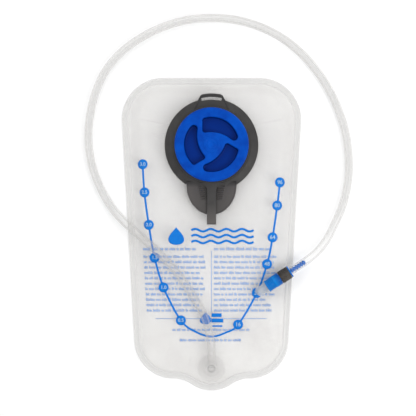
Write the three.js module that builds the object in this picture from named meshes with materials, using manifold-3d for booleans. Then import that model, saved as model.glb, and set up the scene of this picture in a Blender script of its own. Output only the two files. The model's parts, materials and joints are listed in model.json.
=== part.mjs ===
// A 3 litre hydration bladder, lying on its back with its fill port up.
// Units are millimetres. X points right, Y points to the top of the bag and Z points up.
// The origin is on the table, below the middle of the bag.
import * as THREE from "three";
import { mergeVertices } from "three/addons/utils/BufferGeometryUtils.js";
import Module from "manifold-3d";

// ---- driving dimensions ----
const ROUND = 48; // segments of a large round part
const SMALL_ROUND = 24; // segments of a small round part
const GAP = 0.3; // between pieces that touch

// The bag's outline and its two films
const BAG_HALF_LENGTH = 187.3;
const TOP_CORNER = { x: 57.5, y: 137.3, radius: 50 };
const BOTTOM_CORNER = { x: 45.5, y: -126, radius: 47 };
const LOBE = { y: -146.3, radius: 41 };
const FILM = 0.6;
const WELD = 7; // width of the welded band all round
const OUTLINE_POINTS = 100;
const SHOULDER = 24; // how far in from the edge the front film is fully raised
const FILM_ROWS = { insets: [0, WELD, 10.5, 14.5, 19, SHOULDER], inner: [0.45, 1], middleTop: 120 };
const LOBE_SHOULDER = 11;
const PLATEAU = 13.8; // top of the front film around the fill port
const WAIST_HEIGHT = 8;
const LOBE_HEIGHT = 4.6;

// The fill port, round about its own upright axis
const PORT_Y = 106;
const COLLAR = { base: PLATEAU + GAP, edge: 15.1, top: 19, radius: 55.6, shoulder: 46.8 };
const NECK = { bore: 37.6, root: 40, crest: 41.4, top: 31 };
const PORT_HOLE = 39; // in the front film
const TONGUE = { top: 18.9, bottom: 16.3, halfWidth: 29.7, centre: 47.4, length: 35.3, rim: 1.3, dish: 0.4 };
const RIBS = { count: 8, pitch: 2.3, inner: 6.6, length: 9.6, shorter: 0.5, width: 1, height: 1.1 };
const TAB = { radius: 61.1, tip: 12.3, waist: 17.4, waistY: 50.7, root: 22, rootY: 41.7 };
const SLOT = { radius: 55.4, halfWidth: 12, height: 3.4 };
const PEG = { below: 68, radius: 2 };

// The screw cap and its tether
const LEAD = 12; // rise in one turn of the two-start thread
const THREAD_WIDTH = 2;
const NECK_THREAD = { start: 0, steps: 29, z: 22.1 };
const CAP_THREAD = { start: 75, steps: 27, z: 21.6 };
const CAP = { radius: 43.6, groove: 42.8, inner: 42, crest: 40.5, bottom: 19.4, roof: 33.2, top: 36 };
const POCKET = { floor: 27, wall: 1.6, outer: 32.2, inner: 37.8, x: -0.9, y: -23.3, left: -10.7 };
const POCKET_CORNER = 3; // of its blunt end
const POCKET_TIP = 4.4; // radius of its pointed end
const EMBOSSED_RINGS = [
  { inner: 7.6, outer: 9 },
  { inner: 3.6, outer: 5 },
];
const EMBOSS = 0.5;
const TETHER_RING = { inner: 43.1, outer: 46, bottom: 20.7, top: 22.6 };
const STRAP = { thickness: 1.6, ringWidth: 9.7, endWidth: 11, topLeg: 20.1, bottomLeg: 15.1, fold: 90.9 };
const STRAP_BEND = [4, 5, 9]; // how far from the ring the strap starts, turns and ends its first bend
const STRAP_HOOK = 4.5; // how far the strap's end reaches past the peg

// The outlet at the foot of the bag
const OUTLET = { y: -160.5, flange: 16, flangeTop: 6.4, bossTop: 8.4, boss: 6.2, bore: 4.3, axisZ: 14.5 };
const ELBOW = { body: 8, top: 22, branch: 5.6, face: -150.7, barbEnd: -129.5, bore: 2 };

// The hose and the bite valve
const HOSE = { radius: 4.7, bore: 3.35, sides: 10, steps: 52 };
const BARB = { core: 2.3, crest: 2.8, pitch: 4.6 };
const VALVE = { x: 93.6, y: -43.7, z: 16.2, alongX: -0.837, alongY: -0.547, radius: 7.5 };
const VALVE_LENGTHS = { barb: 20.8, flange: 1.5, ring: 13.2, sleeve: 18.6, mouthpiece: 14 };
const VALVE_STEM = { radius: 4.6, bore: 1.6, grooveDepth: 0.9, grooveWidth: 1.8 };

// The hose's centre line, from the outlet to the bite valve.
const HOSE_ROUTE = [
  [0, -150.4, 14.5],
  [0, -140.0, 14.5],
  [-0.2, -129.0, 14.4],
  [-2.6, -117.4, 13.7],
  [-9.4, -95.6, 13.4],
  [-24.4, -69.6, 14.1],
  [-41.6, -44.6, 14.8],
  [-63.2, -21.6, 17.6],
  [-83.7, -2.6, 17.5],
  [-104.2, 15.1, 11.0],
  [-120.0, 33.0, 6.0],
  [-134.1, 57.9, 4.9],
  [-143.6, 85.8, 4.8],
  [-147.2, 113.7, 4.8],
  [-145.2, 142.6, 4.8],
  [-138.2, 170.6, 4.8],
  [-126.1, 196.5, 4.8],
  [-107.1, 218.4, 4.8],
  [-83.7, 235.3, 4.8],
  [-57.8, 247.9, 4.8],
  [-30.4, 255.9, 4.8],
  [-1.8, 258.5, 4.8],
  [26.9, 256.6, 4.8],
  [54.6, 249.3, 4.8],
  [80.7, 236.9, 4.8],
  [103.7, 219.7, 4.8],
  [123.2, 198.7, 4.8],
  [139.3, 174.9, 4.8],
  [151.8, 149.0, 4.8],
  [160.2, 121.5, 4.8],
  [163.9, 93.0, 4.8],
  [163.2, 64.3, 4.9],
  [157.1, 36.2, 5.0],
  [145.8, 9.9, 6.8],
  [137.2, -6.3, 9.8],
  [125.6, -20.5, 13.4],
  [111.6, -31.9, 15.9],
  [102.8, -37.7, 16.2],
  [93.9, -43.5, 16.2],
];

// ---- solids ----
const wasm = await Module();
wasm.setup();

// The same surface with shared corners merged and empty triangles left out.
function welded(geometry) {
  const bare = geometry.clone();
  bare.deleteAttribute("normal");
  bare.deleteAttribute("uv");
  const merged = mergeVertices(bare, 1e-3);
  const index = merged.index.array;
  const kept = [];
  for (let i = 0; i < index.length; i += 3) {
    const [a, b, c] = [index[i], index[i + 1], index[i + 2]];
    if (a !== b && b !== c && c !== a) kept.push(a, b, c);
  }
  merged.setIndex(kept);
  return merged;
}

function solid(geometry) {
  const merged = welded(geometry);
  return new wasm.Manifold(
    new wasm.Mesh({
      numProp: 3,
      vertProperties: new Float32Array(merged.attributes.position.array),
      triVerts: new Uint32Array(merged.index.array),
    }),
  );
}

function geometryOf(manifold) {
  const mesh = manifold.getMesh();
  const geometry = new THREE.BufferGeometry();
  geometry.setAttribute("position", new THREE.BufferAttribute(mesh.vertProperties, 3));
  geometry.setIndex(new THREE.BufferAttribute(mesh.triVerts, 1));
  return geometry;
}

function joined(geometries) {
  return geometries.map(solid).reduce((whole, piece) => whole.add(piece));
}

// ---- shared shapes ----
// A closed profile of [radius, height] points, turned about Z. The points run anticlockwise.
function turned(profile, segments = ROUND) {
  const points = [...profile, profile[0]].map(([radius, z]) => new THREE.Vector2(radius, z));
  return new THREE.LatheGeometry(points, segments).rotateX(Math.PI / 2);
}

// An upright cylinder with its foot at z.
function post(radius, z, height, segments = SMALL_ROUND) {
  const cylinder = new THREE.CylinderGeometry(radius, radius, height, segments);
  return cylinder.rotateX(Math.PI / 2).translate(0, 0, z + height / 2);
}

// A flat plate of the shape, from bottom to top.
function plate(shape, bottom, top, curveSegments = 12) {
  const settings = { depth: top - bottom, bevelEnabled: false, curveSegments };
  return new THREE.ExtrudeGeometry(shape, settings).translate(0, 0, bottom);
}

// A ring of rectangular section.
function ring(inner, outer, bottom, top, segments = ROUND) {
  const profile = [
    [inner, bottom],
    [outer, bottom],
    [outer, top],
    [inner, top],
  ];
  return turned(profile, segments);
}

// Points of [radius, height] on an arc, for rounding a profile.
function arc(radius, z, size, from, to, steps = 4) {
  const points = [];
  for (let i = 0; i <= steps; i++) {
    const angle = THREE.MathUtils.degToRad(from + ((to - from) * i) / steps);
    points.push([radius + size * Math.cos(angle), z + size * Math.sin(angle)]);
  }
  return points;
}

// One helical thread ridge with tapered ends. It sinks by 0.3 into the wall at rootRadius.
function threadRidge(rootRadius, crestRadius, startAngle, steps, startZ) {
  const sweep = (360 / ROUND) * steps;
  const geometry = new THREE.BoxGeometry(1, 1, 1, steps, 1, 1);
  const place = geometry.attributes.position;
  const wall = rootRadius - 0.3 * Math.sign(crestRadius - rootRadius);
  const turn = crestRadius > rootRadius ? -1 : 1;
  for (let i = 0; i < place.count; i++) {
    const along = place.getX(i) + 0.5;
    const atCrest = place.getY(i) > 0;
    const side = place.getZ(i) * turn;
    const taper = Math.min(1, 8 * Math.min(along, 1 - along) + 0.05);
    const radius = atCrest ? wall + (crestRadius - wall) * taper : wall;
    const halfWidth = THREAD_WIDTH * (atCrest ? 0.6 : 1);
    const angle = THREE.MathUtils.degToRad(startAngle + along * sweep);
    const z = startZ + (LEAD * along * sweep) / 360 + side * halfWidth;
    place.setXYZ(i, radius * Math.cos(angle), radius * Math.sin(angle), z);
  }
  return geometry;
}

// A plain material of the part's own.
function finish(colour, roughness, opacity = 1) {
  return new THREE.MeshStandardMaterial({
    color: colour,
    roughness,
    metalness: 0,
    opacity,
    transparent: opacity < 1,
  });
}

// ---- the bag ----
// The bag's outline, clockwise from the middle of its top edge.
function bagOutline() {
  const drop = BOTTOM_CORNER.y - BOTTOM_CORNER.radius;
  // The fillet between the bottom edge and the lobe touches both.
  const reach = BOTTOM_CORNER.x;
  const depth = LOBE.y - drop;
  const fillet = (reach ** 2 + depth ** 2 - LOBE.radius ** 2) / (2 * (LOBE.radius - depth));
  const filletY = drop - fillet;
  const lobeAngle = Math.atan2(filletY - LOBE.y, reach);
  const down = -Math.PI / 2;
  const outline = new THREE.Shape();
  outline.moveTo(0, BAG_HALF_LENGTH);
  outline.lineTo(TOP_CORNER.x, BAG_HALF_LENGTH);
  outline.absarc(TOP_CORNER.x, TOP_CORNER.y, TOP_CORNER.radius, -down, 0, true);
  outline.absarc(BOTTOM_CORNER.x, BOTTOM_CORNER.y, BOTTOM_CORNER.radius, 0, down, true);
  outline.absarc(reach, filletY, fillet, -down, lobeAngle + Math.PI, false);
  outline.absarc(0, LOBE.y, LOBE.radius, lobeAngle, -Math.PI - lobeAngle, true);
  outline.absarc(-reach, filletY, fillet, -lobeAngle, -down, false);
  outline.absarc(-BOTTOM_CORNER.x, BOTTOM_CORNER.y, BOTTOM_CORNER.radius, down, -Math.PI, true);
  outline.absarc(-TOP_CORNER.x, TOP_CORNER.y, TOP_CORNER.radius, Math.PI, -down, true);
  outline.lineTo(0, BAG_HALF_LENGTH);
  return outline;
}

// Height of the raised front film along the bag: level round the port, low at the outlet.
function raisedHeight(y) {
  const upper = THREE.MathUtils.smoothstep(y, -62, 4);
  const lower = THREE.MathUtils.smoothstep(y, -142, -92);
  const slack = THREE.MathUtils.lerp(LOBE_HEIGHT, WAIST_HEIGHT, lower);
  return THREE.MathUtils.lerp(slack, PLATEAU, upper);
}

// The front film rises from the welded edge. Every row of points follows the outline,
// first at set distances in from it, and then in steps to the bag's middle line.
function frontFilm() {
  const outline = bagOutline();
  const { insets, inner: shares, middleTop } = FILM_ROWS;
  const inward = insets.length + shares.length;
  const rows = 2 * inward;
  const template = Array.from({ length: rows }, (_, row) => new THREE.Vector2(1 + row, row));
  const geometry = new THREE.LatheGeometry(template, OUTLINE_POINTS);
  const place = geometry.attributes.position;
  for (let i = 0; i <= OUTLINE_POINTS; i++) {
    const share = (i % OUTLINE_POINTS) / OUTLINE_POINTS;
    const edge = outline.getPointAt(share);
    const ahead = outline.getTangentAt(share);
    const inner = new THREE.Vector2(edge.x + ahead.y * SHOULDER, edge.y - ahead.x * SHOULDER);
    const middle = new THREE.Vector2(0, THREE.MathUtils.clamp(edge.y, LOBE.y, middleTop));
    for (let row = 0; row < rows; row++) {
      const onTop = row >= inward;
      const step = onTop ? rows - 1 - row : row;
      const level = inward - 1 - step;
      const inset = level < insets.length ? insets[level] : SHOULDER;
      const point = new THREE.Vector2(edge.x + ahead.y * inset, edge.y - ahead.x * inset);
      if (level >= insets.length) point.lerpVectors(inner, middle, shares[level - insets.length]);
      const lobeShare = THREE.MathUtils.smoothstep(point.y, -145, -112);
      const shoulder = THREE.MathUtils.lerp(LOBE_SHOULDER, SHOULDER, lobeShare);
      const rise = THREE.MathUtils.smoothstep(inset, WELD, shoulder);
      const rim = 2 * FILM + GAP;
      const top = THREE.MathUtils.lerp(rim, raisedHeight(point.y), rise);
      place.setXYZ(i * rows + row, point.x, point.y, onTop ? top : top - FILM);
    }
  }
  return facingOut(geometry);
}

// The surface with its faces pointing out.
function facingOut(geometry) {
  const merged = welded(geometry);
  const place = merged.attributes.position;
  const index = merged.index;
  const corner = (i) => new THREE.Vector3().fromBufferAttribute(place, index.getX(i));
  let volume = 0;
  for (let i = 0; i < index.count; i += 3) {
    volume += corner(i).dot(corner(i + 1).cross(corner(i + 2)));
  }
  if (volume < 0) {
    for (let i = 0; i < index.count; i += 3) {
      const swapped = index.getX(i + 1);
      index.setX(i + 1, index.getX(i + 2));
      index.setX(i + 2, swapped);
    }
  }
  return merged;
}

function makeFrontFilm() {
  const port = solid(post(PORT_HOLE, 0, COLLAR.top, ROUND).translate(0, PORT_Y, 0));
  const outlet = solid(post(OUTLET.bore + GAP, 0, COLLAR.top).translate(0, OUTLET.y, 0));
  return geometryOf(solid(frontFilm()).subtract(port).subtract(outlet));
}

function makeBackFilm() {
  const points = bagOutline().getSpacedPoints(OUTLINE_POINTS);
  return plate(new THREE.Shape(points), 0, FILM);
}

// ---- the fill port ----
function collarBody() {
  const profile = [
    [NECK.bore, COLLAR.base],
    [COLLAR.radius, COLLAR.base],
    [COLLAR.radius, COLLAR.edge],
    [COLLAR.radius - 1, COLLAR.edge + 0.9],
    [COLLAR.shoulder + 2, COLLAR.top - 0.7],
    [COLLAR.shoulder, COLLAR.top],
    [NECK.root, COLLAR.top],
    [NECK.root, NECK.top - 0.6],
    [NECK.root - 0.6, NECK.top],
    [NECK.bore, NECK.top],
  ];
  return turned(profile);
}

// The grip tongue below the port: a half ellipse that runs up into the collar.
function tongueOutline(grow) {
  const outline = new THREE.Shape();
  outline.moveTo(TONGUE.halfWidth + grow, -TONGUE.centre);
  outline.lineTo(TONGUE.halfWidth + grow, -TONGUE.centre + 3);
  outline.lineTo(-TONGUE.halfWidth - grow, -TONGUE.centre + 3);
  outline.lineTo(-TONGUE.halfWidth - grow, -TONGUE.centre);
  const across = TONGUE.halfWidth + grow;
  outline.absellipse(0, -TONGUE.centre, across, TONGUE.length + grow, Math.PI, 2 * Math.PI, false);
  return outline;
}

// Fine ribs on each side of the tether strap, for the fingers to grip.
function gripRibs() {
  const ribs = [];
  for (let i = 0; i < RIBS.count; i++) {
    const length = RIBS.length - RIBS.shorter * i;
    for (const side of [-1, 1]) {
      const rib = new THREE.BoxGeometry(length, RIBS.width, RIBS.height);
      const x = side * (RIBS.inner + length / 2);
      ribs.push(rib.translate(x, -TONGUE.centre - RIBS.width / 2 - RIBS.pitch * i, TONGUE.top));
    }
  }
  return ribs;
}

// The hanging tab above the port, and the slot through it.
function tabOutline() {
  const tipAngle = Math.asin(TAB.tip / TAB.radius);
  const outline = new THREE.Shape();
  outline.moveTo(-TAB.root, TAB.rootY);
  outline.lineTo(TAB.root, TAB.rootY);
  outline.lineTo(TAB.waist, TAB.waistY);
  outline.absarc(0, 0, TAB.radius, Math.PI / 2 - tipAngle, Math.PI / 2 + tipAngle, false);
  outline.lineTo(-TAB.waist, TAB.waistY);
  return outline;
}

function slotOutline() {
  const half = Math.asin(SLOT.halfWidth / SLOT.radius);
  const up = Math.PI / 2;
  const outline = new THREE.Shape();
  outline.absarc(0, 0, SLOT.radius - SLOT.height / 2, up + half, up - half, true);
  outline.absarc(0, 0, SLOT.radius + SLOT.height / 2, up - half, up + half, false);
  return outline;
}

function makeCollar() {
  const body = [
    collarBody(),
    plate(tongueOutline(0), TONGUE.bottom, TONGUE.top, 24),
    plate(tabOutline(), TONGUE.bottom, COLLAR.top + 0.4),
    post(PEG.radius, COLLAR.base, TONGUE.bottom + 1 - COLLAR.base).translate(0, -PEG.below, 0),
    ...gripRibs(),
  ];
  for (const start of [0, 180]) {
    const { start: first, steps, z } = NECK_THREAD;
    body.push(threadRidge(NECK.root, NECK.crest, start + first, steps, z));
  }
  const dishOutline = tongueOutline(-TONGUE.rim);
  const dish = solid(plate(dishOutline, TONGUE.top - TONGUE.dish, TONGUE.top + 0.01, 24));
  const bore = solid(post(NECK.bore, COLLAR.base - 1, 30, ROUND));
  const slot = solid(plate(slotOutline(), COLLAR.base - 1, COLLAR.top + 1));
  const [collar, tongue, ...rest] = body.map(solid);
  const dished = tongue.subtract(dish);
  const whole = rest.reduce((sum, piece) => sum.add(piece), collar.add(dished));
  return geometryOf(whole.subtract(bore).subtract(slot)).translate(0, PORT_Y, 0);
}

// ---- the cap ----
// One finger pocket: a crescent between two circles, with three rounded corners.
function pocketOutline(grow) {
  const outer = POCKET.outer + grow;
  const inner = POCKET.inner - grow;
  const corner = POCKET_CORNER + grow;
  const outerReach = POCKET.outer - POCKET_CORNER;
  const innerReach = POCKET.inner + POCKET_CORNER;
  const hub = new THREE.Vector2(POCKET.x, POCKET.y);
  const bluntX = POCKET.left + POCKET_CORNER;
  const upper = new THREE.Vector2(bluntX, Math.sqrt(outerReach ** 2 - bluntX ** 2));
  const lowerY = hub.y + Math.sqrt(innerReach ** 2 - (bluntX - hub.x) ** 2);
  const lower = new THREE.Vector2(bluntX, lowerY);
  // The tip's corner touches both circles, so it is where two circles about their centres meet.
  const toOuter = POCKET.outer - POCKET_TIP;
  const toInner = POCKET.inner + POCKET_TIP;
  const apart = hub.length();
  const along = (toOuter ** 2 - toInner ** 2 + apart ** 2) / (2 * apart);
  const aside = Math.sqrt(toOuter ** 2 - along ** 2);
  const tip = new THREE.Vector2(
    (hub.x * along - hub.y * aside) / apart,
    (hub.y * along + hub.x * aside) / apart,
  );
  const bearing = (from, to) => Math.atan2(to.y - from.y, to.x - from.x);
  const centre = new THREE.Vector2(0, 0);
  const outline = new THREE.Shape();
  outline.absarc(lower.x, lower.y, corner, Math.PI, bearing(lower, hub), false);
  outline.absarc(hub.x, hub.y, inner, bearing(hub, lower), bearing(hub, tip), true);
  outline.absarc(tip.x, tip.y, POCKET_TIP + grow, bearing(tip, hub), bearing(centre, tip), false);
  outline.absarc(0, 0, outer, bearing(centre, tip), bearing(centre, upper), false);
  outline.absarc(upper.x, upper.y, corner, bearing(centre, upper), Math.PI, false);
  return outline;
}

function capShell() {
  const profile = [
    [0, CAP.roof],
    [CAP.inner, CAP.roof],
    [CAP.inner, CAP.bottom],
    [CAP.radius, CAP.bottom],
    [CAP.radius, TETHER_RING.bottom - GAP],
    [CAP.groove, TETHER_RING.bottom - GAP],
    [CAP.groove, TETHER_RING.top + GAP],
    [CAP.radius, TETHER_RING.top + GAP],
    ...arc(CAP.radius - 1.8, CAP.top - 1.8, 1.8, 0, 90),
    [0, CAP.top],
  ];
  return turned(profile);
}

function makeCap() {
  let cap = solid(capShell());
  for (const start of [0, 180]) {
    const { start: first, steps, z } = CAP_THREAD;
    cap = cap.add(solid(threadRidge(CAP.inner, CAP.crest, start + first, steps, z)));
  }
  const turns = [0, 1, 2].map((i) => (-2 * Math.PI * i) / 3);
  for (const turn of turns) {
    const cup = plate(pocketOutline(POCKET.wall), POCKET.floor - POCKET.wall, CAP.roof + 0.5, 7);
    cap = cap.add(solid(cup.rotateZ(turn)));
  }
  for (const turn of turns) {
    cap = cap.subtract(solid(plate(pocketOutline(0), POCKET.floor, CAP.top + 1, 7).rotateZ(turn)));
  }
  for (const { inner, outer } of EMBOSSED_RINGS) {
    cap = cap.add(solid(ring(inner, outer, CAP.top - EMBOSS, CAP.top + EMBOSS, SMALL_ROUND)));
  }
  return geometryOf(cap).translate(0, PORT_Y, 0);
}

function makeCapSeal() {
  return ring(NECK.bore + 0.4, NECK.crest, NECK.top + GAP, CAP.roof - GAP).translate(0, PORT_Y, 0);
}

function makeTetherRing() {
  const { inner, outer, bottom, top } = TETHER_RING;
  const profile = [
    [inner, bottom],
    [outer - 0.4, bottom],
    [outer, bottom + 0.4],
    [outer, top - 0.6],
    [outer - 0.6, top],
    [inner, top],
  ];
  return turned(profile).translate(0, PORT_Y, 0);
}

// The strap runs from the ring over the tongue, folds under its end and hooks on the peg.
function makeTetherStrap() {
  const start = PORT_Y - TETHER_RING.outer - GAP;
  const ringZ = (TETHER_RING.bottom + TETHER_RING.top) / 2;
  const fold = PORT_Y - STRAP.fold;
  const middle = (STRAP.topLeg + STRAP.bottomLeg) / 2;
  const pegY = PORT_Y - PEG.below;
  const line = new THREE.Path();
  line.moveTo(start, ringZ);
  const [first, second, last] = STRAP_BEND.map((reach) => start - reach);
  line.bezierCurveTo(first, ringZ, second, STRAP.topLeg, last, STRAP.topLeg);
  line.lineTo(fold, STRAP.topLeg);
  line.absarc(fold, middle, STRAP.topLeg - middle, Math.PI / 2, 1.5 * Math.PI, false);
  line.lineTo(pegY + STRAP_HOOK, STRAP.bottomLeg);
  const points = line.getPoints(8);
  const half = STRAP.thickness / 2;
  const side = (sign) =>
    points.map((point, i) => {
      const before = points[Math.max(i - 1, 0)];
      const after = points[Math.min(i + 1, points.length - 1)];
      const ahead = after.clone().sub(before).normalize();
      return new THREE.Vector2(point.x - sign * half * ahead.y, point.y + sign * half * ahead.x);
    });
  const section = new THREE.Shape([...side(1), ...side(-1).reverse()]);
  const geometry = new THREE.ExtrudeGeometry(section, { depth: 1, bevelEnabled: false });
  const place = geometry.attributes.position;
  for (let i = 0; i < place.count; i++) {
    const y = place.getX(i);
    const share = THREE.MathUtils.clamp((start - y) / (start - fold), 0, 1);
    const width = THREE.MathUtils.lerp(STRAP.ringWidth, STRAP.endWidth, share);
    place.setXYZ(i, (place.getZ(i) - 0.5) * width, y, place.getY(i));
  }
  const hole = solid(post(PEG.radius + GAP, 0, STRAP.bottomLeg + 2).translate(0, pegY, 0));
  return geometryOf(solid(facingOut(geometry)).subtract(hole));
}

// ---- the outlet ----
function makeOutletFlange() {
  const disc = post(OUTLET.flange, LOBE_HEIGHT + GAP, OUTLET.flangeTop - LOBE_HEIGHT - GAP, 36);
  const boss = post(OUTLET.boss, OUTLET.flangeTop - 1, OUTLET.bossTop - OUTLET.flangeTop + 1);
  const bore = solid(post(OUTLET.bore, 0, 20));
  return geometryOf(joined([disc, boss]).subtract(bore)).translate(0, OUTLET.y, 0);
}

// A barbed spigot, pointing up. Its foot is sunk 1 mm into the fitting below z = 0.
function barb(length) {
  const profile = [[0, -1], [BARB.core, -1]];
  for (let foot = 1.5; foot + BARB.pitch <= length + 0.1; foot += BARB.pitch) {
    profile.push([BARB.core, foot], [BARB.crest, foot + 0.3], [BARB.crest, foot + 1.2]);
    profile.push([BARB.core, foot + BARB.pitch - 0.5]);
  }
  profile.push([BARB.core, length], [0, length]);
  return turned(profile, 14);
}

function makeOutletElbow() {
  const spigotTop = OUTLET.bossTop + GAP;
  const spigot = post(OUTLET.bore - 0.6, LOBE_HEIGHT, spigotTop + 1 - LOBE_HEIGHT);
  const dome = [
    [0, spigotTop],
    [ELBOW.body, spigotTop],
    [ELBOW.body, ELBOW.top - 3],
    ...arc(ELBOW.body - 3, ELBOW.top - 3, 3, 0, 90, 5),
    [0, ELBOW.top],
  ];
  const alongY = (geometry) => geometry.rotateX(-Math.PI / 2).translate(0, 0, OUTLET.axisZ);
  const reach = ELBOW.face - OUTLET.y;
  const branch = alongY(post(ELBOW.branch, 0, reach));
  const nose = alongY(barb(ELBOW.barbEnd - ELBOW.face)).translate(0, reach, 0);
  const upright = solid(post(ELBOW.bore + 0.4, 0, OUTLET.axisZ));
  const channel = solid(alongY(post(ELBOW.bore - 0.4, 0, ELBOW.barbEnd - OUTLET.y + 1, 14)));
  const elbow = joined([spigot, turned(dome, 28), branch, nose]);
  return geometryOf(elbow.subtract(upright).subtract(channel)).translate(0, OUTLET.y, 0);
}

function makeOutletSeal() {
  const bottom = OUTLET.bossTop - 1.6;
  return ring(OUTLET.bore - 0.45, OUTLET.bore - 0.15, bottom, bottom + 1.2, SMALL_ROUND)
    .translate(0, OUTLET.y, 0);
}

// ---- the hose ----
function makeHose() {
  const line = new THREE.CatmullRomCurve3(HOSE_ROUTE.map((point) => new THREE.Vector3(...point)));
  const circle = (radius) => {
    const path = new THREE.Shape();
    for (let i = 0; i < HOSE.sides; i++) {
      const angle = (2 * Math.PI * i) / HOSE.sides;
      const point = [radius * Math.cos(angle), radius * Math.sin(angle)];
      if (i === 0) path.moveTo(...point);
      else path.lineTo(...point);
    }
    return path.closePath();
  };
  const section = circle(HOSE.radius);
  section.holes.push(circle(HOSE.bore));
  const settings = { steps: HOSE.steps, extrudePath: line, bevelEnabled: false };
  return facingOut(new THREE.ExtrudeGeometry(section, settings));
}

// ---- the bite valve, built along its own Z axis from the hose towards the mouth ----
// Where the two O-ring grooves start, behind and in front of the sleeve's foot.
function grooveFeet() {
  const sleeveFoot = VALVE_LENGTHS.flange + VALVE_LENGTHS.ring;
  return [sleeveFoot - 6, sleeveFoot + 2.6];
}

function makeValveStem() {
  const { barb: barbLength, flange, ring: ringLength, sleeve } = VALVE_LENGTHS;
  const { radius: stem, bore: boreRadius, grooveDepth, grooveWidth } = VALVE_STEM;
  const floor = stem - grooveDepth;
  const end = flange + ringLength + sleeve - 5;
  const profile = [
    [0, 0],
    [VALVE.radius, 0],
    [VALVE.radius, flange],
    [stem, flange],
  ];
  for (const groove of grooveFeet()) {
    const far = groove + grooveWidth;
    profile.push([stem, groove], [floor, groove], [floor, far], [stem, far]);
  }
  profile.push([stem, end - 5], [3.2, end - 4], [3.2, end - 1], [2, end], [0, end]);
  const tail = barb(barbLength).rotateX(Math.PI);
  const bore = solid(post(boreRadius, -barbLength - 2, barbLength + 2 + end - 6, 14));
  const port = solid(post(1.4, -6, 12, 12).rotateY(Math.PI / 2).translate(0, 0, end - 6.8));
  return geometryOf(joined([turned(profile, 28), tail]).subtract(bore).subtract(port));
}

// The O-rings sit in the stem's two grooves.
function makeValveORing(index) {
  const foot = grooveFeet()[index] + GAP;
  return ring(4, 5, foot, foot + VALVE_STEM.grooveWidth - 2 * GAP, SMALL_ROUND);
}

function makeLockRing() {
  const { flange, ring: length } = VALVE_LENGTHS;
  const foot = flange + GAP;
  const head = flange + length - GAP;
  const body = solid(
    turned(
      [
        [5.3, foot],
        [VALVE.radius - 0.6, foot],
        [VALVE.radius, foot + 0.6],
        [VALVE.radius, head - 0.6],
        [VALVE.radius - 0.6, head],
        [5.3, head],
      ],
      28,
    ),
  );
  const grips = Array.from({ length: 12 }, (_, i) => {
    const rib = new THREE.BoxGeometry(0.7, 0.9, length - 4).translate(VALVE.radius, 0, (foot + head) / 2);
    return solid(rib.rotateZ((Math.PI * i) / 6));
  });
  return geometryOf(grips.reduce((whole, rib) => whole.add(rib), body));
}

function makeSleeve() {
  const { flange, ring: ringLength, sleeve } = VALVE_LENGTHS;
  const foot = flange + ringLength;
  const head = foot + sleeve;
  const profile = [
    [5.4, foot],
    [VALVE.radius - 0.3, foot],
    [VALVE.radius, foot + 0.4],
    [VALVE.radius, head - 0.5],
    [VALVE.radius - 0.5, head],
    [4, head],
    [3.6, head + 6],
    [2.3, head + 6],
    [2.3, head - 2.4],
    [5.4, head - 3.6],
  ];
  return turned(profile, 28);
}

function makeMouthpiece() {
  const { flange, ring: ringLength, sleeve, mouthpiece } = VALVE_LENGTHS;
  const foot = flange + ringLength + sleeve + GAP;
  const head = foot + mouthpiece;
  const profile = [
    [4.4, foot],
    [6.6, foot],
    [6.6, foot + 1.2],
    [5.8, foot + 3.2],
    [5.8, head - 3],
    [4.6, head - 1],
    [3, head],
    [0, head],
    [0, head - 2.2],
    [2.6, head - 2.8],
    [4, foot + 6.4],
  ];
  const slit = solid(new THREE.BoxGeometry(5, 0.4, 6).translate(0, 0, head - 1.5));
  return geometryOf(solid(turned(profile, 24)).subtract(slit));
}

// ---- the assembly ----
function named(name, geometry, material) {
  const mesh = new THREE.Mesh(geometry, material);
  mesh.name = name;
  return mesh;
}

const filmColour = 0xdfe3e4;
const softGrey = 0x565355;
const capBlue = 0x0a50b8;
const valveBlue = 0x1476d6;
const ringGrey = 0x403d3f;
const lockGrey = 0x6b6560;
const clearGrey = 0xe4e8e8;
const sealBlack = 0x2a2a2c;

const bladder = new THREE.Group();
bladder.add(
  named("back_film", makeBackFilm(), finish(filmColour, 0.35, 0.8)),
  named("front_film", makeFrontFilm(), finish(filmColour, 0.35, 0.8)),
  named("port_collar", makeCollar(), finish(softGrey, 0.55)),
  named("cap", makeCap(), finish(capBlue, 0.4)),
  named("cap_seal", makeCapSeal(), finish(clearGrey, 0.6)),
  named("tether_ring", makeTetherRing(), finish(ringGrey, 0.6)),
  named("tether_strap", makeTetherStrap(), finish(softGrey, 0.6)),
  named("outlet_flange", makeOutletFlange(), finish(clearGrey, 0.3, 0.7)),
  named("outlet_elbow", makeOutletElbow(), finish(clearGrey, 0.25, 0.7)),
  named("outlet_seal", makeOutletSeal(), finish(sealBlack, 0.6)),
  named("hose", makeHose(), finish(clearGrey, 0.25, 0.6)),
);

const valve = new THREE.Group();
const valveAxis = new THREE.Vector3(VALVE.alongX, VALVE.alongY, 0).normalize();
valve.position.set(VALVE.x, VALVE.y, VALVE.z);
valve.quaternion.setFromUnitVectors(new THREE.Vector3(0, 0, 1), valveAxis);
valve.add(
  named("valve_stem", makeValveStem(), finish(valveBlue, 0.3, 0.85)),
  named("valve_o_ring_rear", makeValveORing(0), finish(sealBlack, 0.6)),
  named("valve_o_ring_front", makeValveORing(1), finish(sealBlack, 0.6)),
  named("lock_ring", makeLockRing(), finish(lockGrey, 0.35, 0.85)),
  named("sleeve", makeSleeve(), finish(valveBlue, 0.3, 0.75)),
  named("mouthpiece", makeMouthpiece(), finish(clearGrey, 0.4, 0.7)),
);
bladder.add(valve);

export default bladder;
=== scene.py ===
# A 3 litre hydration bladder on a pale floor, seen from straight above.
# Shapes are drawn in millimetres in the CAD's own axes, and become meshes in metres.
import json
import random
from math import asin, atan, atan2, cos, exp, hypot, pi, radians, sin, sqrt, tan

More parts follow.
